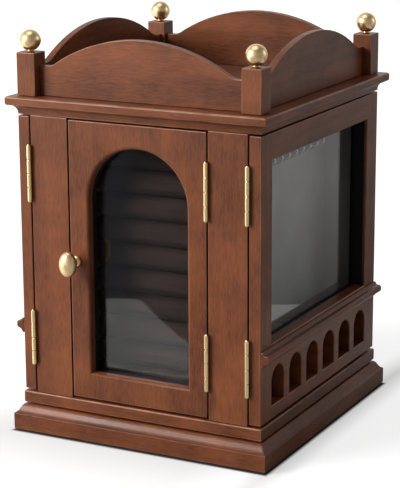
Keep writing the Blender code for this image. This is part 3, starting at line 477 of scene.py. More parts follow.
class Graph:
    """Adds nodes to a tree in order, and links them by socket name."""

    def __init__(self, tree: Tree) -> None:
        """Keeps the tree that the nodes go into."""
        self.tree = tree
        self.count = 0

    def add(self, kind: str, inputs: dict | None = None, **settings: object) -> Node:
        """Adds one node.

        Args:
            kind: The node's type.
            inputs: As for fill.
            settings: The node's own options.

        Returns:
            The new node.
        """
        node = self.tree.nodes.new(kind)
        node.location = (190 * (self.count % 9), -260 * (self.count // 9))
        self.count += 1
        for name, value in settings.items():
            setattr(node, name, value)
        self.fill(node, inputs or {})
        return node

    def fill(self, node: Node, inputs: dict) -> None:
        """Sets a node's inputs.

        Args:
            node: The node.
            inputs: For a socket's name or number, a value, or the socket that feeds it, or the
                node whose first output does.
        """
        for key, value in inputs.items():
            source = value.outputs[0] if isinstance(value, Node) else value
            if isinstance(source, Socket):
                self.tree.links.new(source, node.inputs[key])
            else:
                node.inputs[key].default_value = value

    def group(self, build: Callable[[], Tree], inputs: dict) -> Node:
        """Adds a shared shader group, and returns its node."""
        return self.add("ShaderNodeGroup", inputs, node_tree=build())

    def show(self, shader: Node) -> None:
        """Makes a shader the material's surface."""
        self.fill(self.tree.nodes["Material Output"], {"Surface": shader})

    def blend(self, share: object, first: object, second: object) -> Socket:
        """Mixes two colours by the second one's share, as the result's socket."""
        first, second = ((*colour, 1) if isinstance(colour, tuple) else colour for colour in (first, second))
        return self.add("ShaderNodeMix", {0: share, 6: first, 7: second}, data_type="RGBA").outputs[2]

    def number(self, operation: str, first: object, second: object = 0.0) -> Socket:
        """One arithmetic step on numbers, as its result's socket."""
        return self.add("ShaderNodeMath", {0: first, 1: second}, operation=operation).outputs[0]

    def span(self, value: object, low: float, high: float, to_low: float, to_high: float) -> Socket:
        """Maps a number from one span to another, clamped, as its result's socket."""
        return self.add("ShaderNodeMapRange", {"Value": value, "From Min": low, "From Max": high,
                                               "To Min": to_low, "To Max": to_high}).outputs[0]

    def weighted(self, *parts: tuple[object, float]) -> Socket:
        """Sum of numbers, each times its share, as its socket."""
        return reduce(lambda total, part: self.number("ADD", total, part),
                      [self.number("MULTIPLY", value, share) for value, share in parts])

    def product(self, *parts: object) -> Socket:
        """Product of numbers, as its socket."""
        return reduce(lambda total, part: self.number("MULTIPLY", total, part), parts)

    def noise(self, vector: object, scale: object, detail: float, rough: float = 0.55) -> Socket:
        """Fractal noise, as its value's socket."""
        return self.add("ShaderNodeTexNoise", {"Vector": vector, "Scale": scale, "Detail": detail,
                                               "Roughness": rough}).outputs[0]


def new_tree(name: str, kind: str, inputs: dict[str, str], *outputs: str) -> tuple:
    """Starts a node group with named inputs and outputs.

    Args:
        name: The group's name.
        kind: GeometryNodeTree or ShaderNodeTree.
        inputs: Name and kind of each input.
        outputs: Name of each output, of the kind Geometry or Float.

    Returns:
        The tree, a Graph on it, and its inputs' sockets.
    """
    tree = bpy.data.node_groups.new(name, kind)
    given = "Geometry" if kind == "GeometryNodeTree" else "Float"
    for way, sockets in (("INPUT", inputs), ("OUTPUT", dict.fromkeys(outputs, given))):
        for label, form in sockets.items():
            tree.interface.new_socket(label, in_out=way, socket_type=f"NodeSocket{form}")
    graph = Graph(tree)
    return tree, graph, graph.add("NodeGroupInput").outputs


@dataclass
class Repeater:
    """Node trees that set copies in a row or a ring, or sweep a wire along a path."""

    seed: int = 7

    @cached_property
    def row(self) -> Tree:
        """Tree that sets copies of a piece in a straight row, each turned a little at random."""
        tree, graph, given = new_tree("row_of_copies", "GeometryNodeTree", {
            "Geometry": "Geometry", "Piece": "Object", "Count": "Int", "Start": "Vector", "Step": "Vector",
            "Turn": "Vector", "Seed": "Int", "Finish": "Material"}, "Geometry")
        line = graph.add("GeometryNodeMeshLine", {
            "Count": given["Count"], "Start Location": given["Start"],
            "Offset": given["Step"]}, mode="OFFSET")
        source = graph.add("GeometryNodeObjectInfo", {"Object": given["Piece"]})
        turn = graph.add("FunctionNodeRandomValue", {1: given["Turn"], "Seed": given["Seed"]},
                         data_type="FLOAT_VECTOR")
        copies = graph.add("GeometryNodeInstanceOnPoints", {
            "Points": line, "Instance": source.outputs["Geometry"], "Rotation": turn})
        self.close(graph, copies, given)
        return tree

    @cached_property
    def ring(self) -> Tree:
        """Tree that sets balls in a ring."""
        tree, graph, given = new_tree("ring_of_balls", "GeometryNodeTree", {
            "Geometry": "Geometry", "Count": "Int", "Ring Radius": "Float", "Ball Radius": "Float",
            "Height": "Float", "Finish": "Material"}, "Geometry")
        circle = graph.add("GeometryNodeMeshCircle", {
            "Vertices": given["Count"], "Radius": given["Ring Radius"]})
        rise = graph.add("ShaderNodeCombineXYZ", {2: given["Height"]})
        raised = graph.add("GeometryNodeSetPosition", {"Geometry": circle, "Offset": rise})
        ball = graph.add("GeometryNodeMeshUVSphere", {
            "Segments": 24, "Rings": 14, "Radius": given["Ball Radius"]})
        copies = graph.add("GeometryNodeInstanceOnPoints", {
            "Points": raised, "Instance": ball})
        shaded = graph.add("GeometryNodeSetShadeSmooth", {"Geometry": copies})
        self.close(graph, shaded, given)
        return tree

    @cached_property
    def wire(self) -> Tree:
        """Tree that sweeps round wire along a line of edges."""
        tree, graph, given = new_tree("bent_wire", "GeometryNodeTree", {
            "Geometry": "Geometry", "Wire Radius": "Float", "Sides": "Int", "Finish": "Material"}, "Geometry")
        path = graph.add("GeometryNodeMeshToCurve", {0: given[0]})
        section = graph.add("GeometryNodeCurvePrimitiveCircle", {
            "Resolution": given["Sides"], "Radius": given["Wire Radius"]})
        swept = graph.add("GeometryNodeCurveToMesh", {
            0: path, 1: section, "Fill Caps": True})
        self.close(graph, swept, given)
        return tree

    @staticmethod
    def close(graph: Graph, made: Node, given: Sequence[Socket]) -> None:
        """Ends a tree with real geometry in one finish."""
        real = graph.add("GeometryNodeRealizeInstances", {0: made})
        finished = graph.add("GeometryNodeSetMaterial", {0: real, "Material": given["Finish"]})
        graph.add("NodeGroupOutput", {0: finished})

    @staticmethod
    def run(obj: Obj, tree: Tree, **values: object) -> Obj:
        """Runs a tree on an object and keeps the result as a plain mesh.

        Args:
            obj: The object that carries the tree.
            tree: The node tree.
            values: The tree's inputs, with underscores for spaces.

        Returns:
            The same object.
        """
        sockets = {item.name: item.identifier for item in tree.interface.items_tree if item.in_out == "INPUT"}
        modifier = obj.modifiers.new(tree.name, "NODES")
        modifier.node_group = tree
        for label, value in values.items():
            modifier[sockets[label.replace("_", " ")]] = value
        return settle(obj)

    def copies(self, name: str, piece: Obj, finish: Material | None, count: int,
               start: Vector, step: Vector, turn: Vector = Vector()) -> Obj:
        """Sets copies of a piece in a row and removes the pattern.

        Args:
            name: Name of the row.
            piece: The piece that is copied, made about the origin.
            finish: The copies' material.
            count: Number of copies.
            start: Place of the first.
            step: From each to the next.
            turn: Most that each may turn about X, Y and Z.

        Returns:
            The row, as one object.
        """
        made = self.run(link(name, bpy.data.meshes.new(name)), self.row, Piece=piece, Count=count, Start=start,
                        Step=step, Turn=turn, Seed=self.seed, Finish=finish)
        bpy.data.objects.remove(piece, do_unlink=True)
        return made


REPEAT = Repeater()


# Finishes


@cache
def figure_group() -> Tree:
    """Shader group for long-grained wood: fine fibres, broad figure, pore dashes and a height."""
    tree, graph, given = new_tree("wood_figure", "ShaderNodeTree", {
        "Vector": "Vector", "Fibre Scale": "Float", "Figure Scale": "Float", "Along": "Float",
    }, "Fibre", "Figure", "Cloud", "Pores", "Height")
    place = given["Vector"]
    wander = graph.add("ShaderNodeTexNoise", {"Vector": place, "Scale": 9.0, "Detail": 2.0})
    swing = graph.add("ShaderNodeVectorMath", {0: wander.outputs[1], 1: (0.012, 0.012, 0.0), 2: place},
                      operation="MULTIPLY_ADD")
    along = graph.add("ShaderNodeCombineXYZ", {0: 1.0, 1: 1.0, 2: given["Along"]})
    drawn = graph.add("ShaderNodeVectorMath", {0: swing, 1: along}, operation="MULTIPLY")
    coarse = graph.noise(drawn.outputs[0], given["Fibre Scale"], 3.0, 0.6)
    fine_scale = graph.product(given["Fibre Scale"], 3.1)
    fine = graph.noise(drawn.outputs[0], fine_scale, 2.0, 0.6)
    fibre = graph.weighted((coarse, 0.3), (fine, 0.7))
    broad = graph.noise(drawn.outputs[0], given["Figure Scale"], 3.0, 0.5)
    rings = graph.add("ShaderNodeTexWave", {"Vector": drawn, "Scale": 26.0, "Distortion": 5.0,
                                            "Detail": 2.0, "Detail Scale": 1.4}, wave_type="RINGS",
                      rings_direction="X")
    figure = graph.weighted((broad, 0.8), (rings.outputs[1], 0.2))
    cloud = graph.noise(swing.outputs[0], 25.0, 3.0, 0.5)
    pore_scale = graph.product(given["Fibre Scale"], 2.6)
    cells = graph.add("ShaderNodeTexVoronoi", {"Vector": drawn, "Scale": pore_scale})
    pores = graph.span(cells.outputs["Distance"], 0.08, 0.26, 1.0, 0.0)
    height = graph.number("SUBTRACT", fibre, graph.product(pores, 0.7))
    graph.add("NodeGroupOutput", {"Fibre": fibre, "Figure": figure, "Cloud": cloud, "Pores": pores,
                                  "Height": height})
    return tree


@cache
def edge_wear_glint_group() -> Tree:
    """Shader group for rounded edges where the finish is rubbed thin, with a painted highlight that is strongest on
    edges facing up.
    """
    tree, graph, given = new_tree("edge_wear_and_painted_glint", "ShaderNodeTree", {"Vector": "Vector", "Amount": "Float"}, "Mask")
    edge = graph.add("ShaderNodeAttribute", attribute_name=EDGE_ATTRIBUTE)
    patches = graph.span(graph.noise(given["Vector"], 48.0, 3.0), 0.34, 0.62, 0.25, 1.0)
    rubbed = graph.product(edge.outputs["Fac"], patches)
    graph.add("NodeGroupOutput", {"Mask": graph.product(rubbed, given["Amount"])})
    return tree


@cache
def handling_group() -> Tree:
    """Shader group for faint smears of handling and polish, as a number from 0 to 1."""
    tree, graph, given = new_tree("handling", "ShaderNodeTree", {"Vector": "Vector", "Scale": "Float"}, "Smear")
    broad = graph.noise(given["Vector"], given["Scale"], 4.0, 0.6)
    fine_scale = graph.product(given["Scale"], 9.0)
    fine = graph.noise(given["Vector"], fine_scale, 2.0)
    both = graph.weighted((broad, 0.7), (fine, 0.3))
    graph.add("NodeGroupOutput", {"Smear": graph.span(both, 0.35, 0.65, 0.0, 1.0)})
    return tree


@cache
def nap_group() -> Tree:
    """Shader group for the nap of velvet and felt: matted patches, loose fibres and a height."""
    tree, graph, given = new_tree("cloth_nap", "ShaderNodeTree", {"Vector": "Vector", "Fibre Scale": "Float"},
                                  "Patch", "Fibre", "Height")
    patch = graph.noise(given["Vector"], 34.0, 3.0)
    fibre = graph.noise(given["Vector"], given["Fibre Scale"], 4.0, 0.75)
    height = graph.number("ADD", fibre, graph.product(patch, 0.3))
    graph.add("NodeGroupOutput", {"Patch": patch, "Fibre": fibre, "Height": height})
    return tree


def start_material(name: str) -> tuple[Material, Graph, Node, Socket]:
    """Starts a material with a Principled shader.

    Args:
        name: The material's name.

    Returns:
        The material, its graph, its shader and the socket of the object's coordinates.
    """
    material = bpy.data.materials.new(name)
    material.use_nodes = True
    graph = Graph(material.node_tree)
    place = graph.add("ShaderNodeTexCoord").outputs["Object"]
    return material, graph, material.node_tree.nodes["Principled BSDF"], place


def set_bump(graph: Graph, shader: Node, height: object, strength: float, distance: float) -> None:
    """Feeds a height to the shader's normal."""
    bump = graph.add("ShaderNodeBump", {"Strength": strength, "Distance": distance, "Height": height})
    graph.fill(shader, {"Normal": bump})


@dataclass(frozen=True)
class Wood:
    """Stained and lacquered wood."""

    name: str
    dark: Colour
    light: Colour
    # edge: colour of rounded edges, rubbed finish plus a painted highlight
    edge: Colour
    grain: Axis = Axis.Z
    rough: float = 0.40
    coat: float = 0.12
    fibre_scale: float = 460.0
    figure_scale: float = 60.0
    along: float = 0.08
    tone_span: Pair = (0.36, 0.66)
    contrast: Pair = (0.37, 0.63)
    shares: Triple = (0.26, 0.4, 0.34)
    pore_share: float = 0.25
    pore_shade: float = 0.45
    joint_shade: float = 0.06
    edge_wear_and_glint: float = 0.7
    joint: float = 0.9
    bump: Pair = (0.16, 0.00012)

    def material(self) -> Material:
        """Builds the wood, with its grain along one axis.

        Returns:
            The material.
        """
        made, graph, shader, place = start_material(f"{self.name}_{self.grain.name.lower()}")
        board = graph.add("ShaderNodeAttribute", attribute_name=BOARD_ATTRIBUTE).outputs["Fac"]
        shift = graph.add("ShaderNodeVectorMath", {0: (0.37, 0.53, 0.71), "Scale": board}, operation="SCALE")
        turn = {Axis.X: (0, pi / 2, 0), Axis.Y: (pi / 2, 0, 0), Axis.Z: (0, 0, 0)}[self.grain]
        laid = graph.add("ShaderNodeMapping", {"Vector": place, "Rotation": turn})
        moved = graph.add("ShaderNodeVectorMath", {0: laid, 1: shift}, operation="ADD")
        figure = graph.group(figure_group, {"Vector": moved, "Fibre Scale": self.fibre_scale,
                                            "Figure Scale": self.figure_scale, "Along": self.along})
        tone = graph.span(figure.outputs["Figure"], *self.tone_span, 0.0, 1.0)
        streak = graph.span(figure.outputs["Fibre"], *self.contrast, 0.0, 1.0)
        cloud = graph.span(figure.outputs["Cloud"], *self.contrast, 0.0, 1.0)
        colour = graph.blend(graph.weighted(*zip((tone, streak, cloud), self.shares)), self.dark, self.light)
        pored = graph.blend(graph.product(figure.outputs["Pores"], self.pore_share), colour,
                            tuple(self.pore_shade * c for c in self.dark))
        # Rounded edges take the lighter edge colour: rubbed finish, and a painted highlight strongest on edges facing
        # up
        edge_wear_and_glint = graph.group(edge_wear_glint_group, {"Vector": place, "Amount": self.edge_wear_and_glint})
        # Faces in a joint are painted near black, as shade in the gap; end grain takes part of the same darkening
        joint = graph.add("ShaderNodeAttribute", attribute_name=JOINT_ATTRIBUTE).outputs["Fac"]
        rubbed_and_lit = graph.blend(edge_wear_and_glint.outputs["Mask"], pored, self.edge)
        rubbed_and_lit = graph.blend(graph.product(joint, self.joint), rubbed_and_lit,
                           tuple(self.joint_shade * c for c in self.dark))
        smear = graph.group(handling_group, {"Vector": place, "Scale": 14.0})
        rough = graph.span(smear, 0.0, 1.0, self.rough - 0.05, self.rough + 0.06)
        polished = graph.number("SUBTRACT", rough, graph.product(edge_wear_and_glint.outputs["Mask"], 0.06))
        graph.fill(shader, {"Base Color": rubbed_and_lit, "Roughness": polished, "Coat Weight": self.coat,
                            "Coat Roughness": 0.22, "IOR": 1.45, "Specular IOR Level": 0.32})
        set_bump(graph, shader, figure.outputs["Height"], *self.bump)
        return made


@dataclass(frozen=True)
class Metal:
    """Polished, brushed or plated metal."""

    name: str
    colour: Colour
    shade: Colour
    rough: float
    spread: float = 0.08

    def material(self) -> Material:
        """Builds the metal, with faint smears, and edges painted brighter, most where they face up: partly rubbed
        metal, partly a painted highlight.

        Returns:
            The material.
        """
        made, graph, shader, place = start_material(self.name)
        smear = graph.group(handling_group, {"Vector": place, "Scale": 55.0})
        edge_wear_and_glint = graph.group(edge_wear_glint_group, {"Vector": place, "Amount": 0.5})
        colour = graph.blend(smear, self.shade, self.colour)
        # Brighter on rounded edges: partly rubbed metal, partly a painted highlight
        bright = graph.blend(edge_wear_and_glint.outputs["Mask"], colour, tuple(min(1.0, 1.08 * c) for c in self.colour))
        rough = graph.span(smear, 0, 1, self.rough + self.spread, self.rough - self.spread / 2)
        graph.fill(shader, {"Base Color": bright, "Roughness": rough, "Metallic": 1.0})
        set_bump(graph, shader, graph.noise(place, 900.0, 1.0), 0.01, 0.00002)
        return made


@dataclass(frozen=True)
class Cloth:
    """Felt or velvet with a soft nap."""

    name: str
    dark: Colour
    light: Colour
    sheen: float
    sheen_tint: Colour
    fibre_scale: float = 1500.0
    bump: float = 0.5

    def material(self) -> Material:
        """Builds the cloth.

        Returns:
            The material.
        """
        made, graph, shader, place = start_material(self.name)
        nap = graph.group(nap_group, {"Vector": place, "Fibre Scale": self.fibre_scale})
        share = graph.weighted((nap.outputs["Patch"], 0.5), (nap.outputs["Fibre"], 0.5))
        colour = graph.blend(graph.span(share, 0.35, 0.65, 0, 1), self.dark, self.light)
        rough = graph.span(nap.outputs["Fibre"], 0.3, 0.7, 0.85, 1.0)
        graph.fill(shader, {"Base Color": colour, "Roughness": rough, "Sheen Weight": self.sheen,
                            "Sheen Roughness": 0.4, "Sheen Tint": (*self.sheen_tint, 1),
                            "Specular IOR Level": 0.15})
        set_bump(graph, shader, nap.outputs["Height"], self.bump, 0.0002)
        return made


@dataclass(frozen=True)
class Lacquer:
    """Black lining behind the glass and the arcade, also painted on window reveals as shade."""

    name: str
    colour: Colour
    rough: float

    def material(self) -> Material:
        """Builds the lining.

        Returns:
            The material.
        """
        made, graph, shader, place = start_material(self.name)
        smear = graph.group(handling_group, {"Vector": place, "Scale": 60.0})
        colour = graph.blend(smear, tuple(0.7 * c for c in self.colour), self.colour)
        rough = graph.span(smear, 0, 1, self.rough, self.rough + 0.15)
        graph.fill(shader, {"Base Color": colour, "Roughness": rough, "Specular IOR Level": 0.2})
        set_bump(graph, shader, graph.noise(place, 1400.0, 3.0), 0.1, 0.00005)
        return made


@dataclass(frozen=True)
class Glass:
    """Clear sheet glass that lets the lamps through."""

    name: str
    tint: Colour = (0.96, 0.985, 0.975)

    def material(self) -> Material:
        """Builds the glass.

        Returns:
            The material.
        """
        made, graph, shader, place = start_material(self.name)
        smear = graph.group(handling_group, {"Vector": place, "Scale": 22.0})
        rough = graph.span(smear, 0, 1, 0.008, 0.03)
        colour = graph.blend(smear, tuple(0.99 * c for c in self.tint), self.tint)
        graph.fill(shader, {"Base Color": colour, "Roughness": rough, "Transmission Weight": 1.0, "IOR": 1.46})
        shadow = graph.add("ShaderNodeLightPath").outputs["Is Shadow Ray"]
        clear = graph.add("ShaderNodeBsdfTransparent", {"Color": (*self.tint, 1)})
        graph.show(graph.add("ShaderNodeMixShader", {0: shadow, 1: shader, 2: clear}))
        return made


# The edge colours are lighter: rubbed finish plus a painted highlight on rounded edges
WALNUT = {"dark": (0.070, 0.0185, 0.0060), "light": (0.285, 0.083, 0.027), "edge": (0.62, 0.30, 0.18)}
INNER = {"dark": (0.20, 0.105, 0.055), "light": (0.34, 0.20, 0.115), "edge": (0.40, 0.25, 0.16)}


class Finish(Enum):
    """Every finish on the cabinet."""

    WALNUT_X = Wood("walnut", grain=Axis.X, **WALNUT)
    WALNUT_Y = Wood("walnut", grain=Axis.Y, **WALNUT)
    WALNUT_Z = Wood("walnut", grain=Axis.Z, **WALNUT)
    INNER_X = Wood("inner_wood", grain=Axis.X, rough=0.55, coat=0.05, edge_wear_and_glint=0.3, **INNER)
    INNER_Y = Wood("inner_wood", grain=Axis.Y, rough=0.55, coat=0.05, edge_wear_and_glint=0.3, **INNER)
    ARCADE_BACK = Wood("arcade_back", grain=Axis.Y, dark=(0.018, 0.0065, 0.004), light=(0.042, 0.015, 0.0095),
                       edge=(0.07, 0.027, 0.017), rough=0.5, coat=0.1)
    BRASS = Metal("brass", (0.98, 0.73, 0.40), (0.92, 0.66, 0.35), 0.28, 0.02)
    HINGE_BRASS = Metal("hinge_brass", (1.0, 0.80, 0.44), (0.97, 0.75, 0.40), 0.16, 0.02)
    HOOK_WIRE = Metal("hook_wire", (0.88, 0.85, 0.78), (0.74, 0.70, 0.62), 0.34, 0.05)
    STEEL = Metal("bearing_steel", (0.62, 0.63, 0.65), (0.5, 0.51, 0.53), 0.22)
    ZINC = Metal("zinc_plate", (0.55, 0.57, 0.58), (0.42, 0.44, 0.46), 0.4)
    VELVET = Cloth("ring_velvet", (0.017, 0.0095, 0.008), (0.025, 0.0145, 0.0125), 0.03, (0.5, 0.36, 0.32), 1500.0,
                   0.03)
    GREY_FELT = Cloth("grey_felt", (0.27, 0.255, 0.25), (0.36, 0.345, 0.335), 0.25, (0.7, 0.68, 0.68), 1800.0, 0.03)
    PALE_FELT = Cloth("pale_felt", (0.17, 0.17, 0.175), (0.23, 0.23, 0.235), 0.3, (0.9, 0.9, 0.9), 1800.0, 0.03)
    BASE_FELT = Cloth("base_felt", (0.012, 0.011, 0.011), (0.03, 0.028, 0.028), 0.2, (0.5, 0.5, 0.5), 1800.0, 0.04)
    # Also painted on the deep faces of the window reveals, as painted shade
    BLACK = Lacquer("black_lining", (0.006, 0.005, 0.005), 0.6)
    RAIL_GREY = Lacquer("hook_rail_grey", (0.06, 0.058, 0.058), 0.5)
    GLASS = Glass("clear_glass")

    @cache
    def get(self) -> Material:
        """The finish's material, built on first use."""
        return self.value.material()


def give(obj: Obj, *finishes: Finish) -> None:
    """Adds finishes to a piece's materials."""
    for finish in finishes:
        obj.data.materials.append(finish.get())


@dataclass
class Assembly:
    """Pieces that ride on one body of the frame."""

    body: str
    first_board: float = 0.0

    def dress(self, obj: Obj, finish: Finish, slot: str, *nodes: str, shade: bool = True,
              joints: Sequence[tuple[Axis, int]] = ()) -> None:
        """Finishes a piece, hangs it on its body and hides the frame's nodes that it replaces.

        Args:
            obj: The piece, in place.
            finish: Its finish, unless it holds materials already.
            slot: The record's slot for that finish; not used.
            nodes: The nodes of the frame that it replaces.
            shade: True shades it smooth between its edges.
            joints: Its sides that face a joint, painted dark as shade in the gap.
        """
        if not obj.data.materials:
            give(obj, finish)
        if shade:
            smooth(obj)
        self.first_board += 1
        grain = finish.value.grain if isinstance(finish.value, Wood) and len(obj.data.materials) == 1 else None
        mark_faces(obj, self.first_board, joints, grain)
        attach(obj, self.body)
        if nodes:
            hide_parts(*nodes)
        LOG.info("%s on %s: %s, %d faces", obj.name, self.body, finish.name.lower(), len(obj.data.polygons))

    def piece(self, name: str, fill: Fill, finish: Finish, *words: str, **sides: object) -> None:
        """Makes a piece from one shape and dresses it, with the other arguments as for dress."""
        self.dress(make(name, fill), finish, *words, **sides)

    def paint(self, node: str, finish: Finish) -> None:
        """Gives a node of the frame that keeps its own shape a better finish."""
        obj = frame["nodes"][node]
        obj.data.materials.clear()
        give(obj, finish)
        LOG.info("%s keeps its shape: %s", node, finish.name.lower())


# Base


def mitred_ring(profile: Sequence[Pair], half_x: float, half_y: float, corner: float) -> Fill:
    """A moulding mitred round the four sides of a rectangle.

    Args:
        profile: Points round its section, as distance out from the rectangle and height.
        half_x: Half the rectangle along X.
        half_y: Half the rectangle along Y.
        corner: Radius of the four outer corners.

    Returns:
        A function that adds the moulding.
    """
    def fill(bm: BMesh) -> None:
        loops = []
        for out, z in profile:
            radius = corner if out > 0 else 0.0
            loop = []
            for quarter, (sx, sy) in enumerate(((1, 1), (-1, 1), (-1, -1), (1, -1))):
                for turn in quarter_turn(CORNER_STEPS):
                    angle = turn + quarter * pi / 2
                    loop.append(Vector((sx * (half_x + out - radius) + radius * cos(angle),
                                        sy * (half_y + out - radius) + radius * sin(angle), z)))
            loops.append(loop)
        loft(bm, loops, True)

    return fill


@dataclass
class Base(Assembly):
    """The plinth, its felt and the lower half of the turntable."""

    body: str = "base"
    moulding_inner: float = -0.0118
    ogee_height: float = 0.0079
    ogee_shares: tuple[Pair, ...] = ((1, 0), (0.80, 0.10), (0.62, 0.30), (0.48, 0.55), (0.33, 0.80), (0.16, 0.96),
                                     (0, 1))
    overhang: float = 0.0082
    edge: float = 0.0009
    corner: float = 0.0008

    def build(self) -> None:
        """Makes the plinth moulding and finishes what lies inside it."""
        low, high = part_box("plinth_moulding")
        crease = high.z - self.ogee_height
        ogee = [(self.overhang * out, crease + self.ogee_height * up) for out, up in self.ogee_shares]
        edge, half = self.edge, self.edge / 2
        foot = quarter_round((self.overhang - edge, low.z + edge), edge, -pi / 2, 3)
        nose = quarter_round((self.overhang - half, crease - half), half, 0, 2)
        profile = [(self.moulding_inner, low.z), *foot, *nose[:-1], *smooth_line(ogee, 4)[1:],
                   (self.moulding_inner, high.z)]
        moulding = make("plinth_ogee_moulding", mitred_ring(
            profile, high.x - self.overhang, high.y - self.overhang, self.corner))
        self.dress(split_grain(moulding), Finish.WALNUT_X, "walnut", "plinth_moulding")
        self.paint("plinth_board", Finish.INNER_X)
        self.paint("base_felt", Finish.BASE_FELT)
        self.paint("bearing_lower_plate", Finish.ZINC)


def split_grain(obj: Obj) -> Obj:
    """Gives a frame of four mitred boards its grain along each board.

    Args:
        obj: The frame, about the turning axis.

    Returns:
        The same object, with two materials.
    """
    high = extent(obj)[1]
    give(obj, Finish.WALNUT_X, Finish.WALNUT_Y)
    for polygon in obj.data.polygons:
        x, y = abs(polygon.center.x), abs(polygon.center.y)
        polygon.material_index = int(high.x - x < high.y - y)
    return obj


@dataclass
class BallCage(Assembly):
    """The ring of balls between the two halves of the turntable."""

    body: str = "ball_cage"
    ring_radius: float = 0.038
    cage_width: float = 0.0076
    cage_thickness: float = 0.001
    cage_sides: int = 96
    ball_radius: float = 0.0023
    balls: int = 12

    def build(self) -> None:
        """Makes the pressed ring and its balls."""
        low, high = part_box("bearing_ball_cage")
        middle = (low.z + high.z) / 2
        half, inner = self.cage_thickness / 2, self.ring_radius - self.cage_width / 2
        section = [(inner, -half), (inner + self.cage_width, -half), (inner + self.cage_width, half), (inner, half)]
        self.piece("bearing_cage_ring", turned(section, Vector((0, 0, middle)), self.cage_sides, True), Finish.ZINC,
                   "steel", "bearing_ball_cage")
        balls = REPEAT.run(link("bearing_balls", bpy.data.meshes.new("bearing_balls")), REPEAT.ring,
                           Count=self.balls, Ring_Radius=self.ring_radius, Ball_Radius=self.ball_radius,
                           Height=middle, Finish=Finish.STEEL.get())
        self.dress(balls, Finish.STEEL, "steel", "bearing_ball_cage", shade=False)


# Case


@dataclass
class HingeSizes:
    """A brass butt hinge, let into both sides of a gap."""

    length: float = 0.049
    knuckles: int = 4
    radius: float = 0.002
    pin_radius: float = 0.0009
    bore_radius: float = 0.001
    knuckle_gap: float = 0.0003
    chamfer: float = 0.00022
    leaf_thickness: float = 0.0009
    leaf_depth: float = 0.009
    parting: float = 0.0003
    cap_height: float = 0.0005
    cap_radius: float = 0.00145
    cap_shares: tuple[Pair, ...] = ((1.0, 0.0), (0.92, 0.45), (0.62, 0.85), (0.1, 1.0))
    root_share: float = 0.78
    sides: int = 32
    door_gap: float = 0.0012

    def span(self, index: int) -> Pair:
        """Bottom and top of one knuckle, above the foot of the hinge."""
        pitch = self.length / self.knuckles
        low = index * pitch + (self.knuckle_gap / 2 if index else 0)
        high = (index + 1) * pitch - (self.knuckle_gap / 2 if index < self.knuckles - 1 else 0)
        return low, high

    def axis(self, door: str, word: str) -> Vector:
        """Foot of the pin of one hinge, read from the frame."""
        low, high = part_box(f"{door}_{word}_hinge_fixed_leaf")
        return Vector(((low.x + high.x) / 2, low.y + self.radius, low.z + SEAT_GAP + self.cap_height))

    def mortise(self, name: str, foot: Vector, side: int, face_y: float) -> Obj:
        """Cutter for the shallow pocket of one leaf.

        Args:
            name: Name of the cutter.
            foot: Foot of the hinge's pin.
            side: The side of the gap that is cut, 1 for +X.
            face_y: The front face of the wood.

        Returns:
            The cutter.
        """
        near = foot.x + side * (self.door_gap / 2 - CUT_OVERRUN)
        far = foot.x + side * (self.parting / 2 + self.leaf_thickness + SEAT_GAP)
        back = foot.y + self.radius + self.leaf_depth + 2 * SEAT_GAP
        low = Vector((min(near, far), face_y - CUT_OVERRUN, foot.z - SEAT_GAP))
        high = Vector((max(near, far), back, foot.z + self.length + SEAT_GAP))
        return make(name, lambda bm: bmesh.ops.create_cube(bm, size=1, matrix=Matrix.Translation(
            (low + high) / 2) @ Matrix.Diagonal((*(high - low), 1))))


HINGE = HingeSizes()


def cut_mortises(obj: Obj, doors: Sequence[tuple[str, int]], face_y: float) -> None:
    """Cuts the hinge pockets of a piece of wood, from each door and the side of that gap the piece lies on."""
    cutters = [HINGE.mortise(f"{door}_{word}_pocket", HINGE.axis(door, word), side, face_y)
               for door, side in doors for word in ("lower", "upper")]
    combine(obj, cutters, "DIFFERENCE")


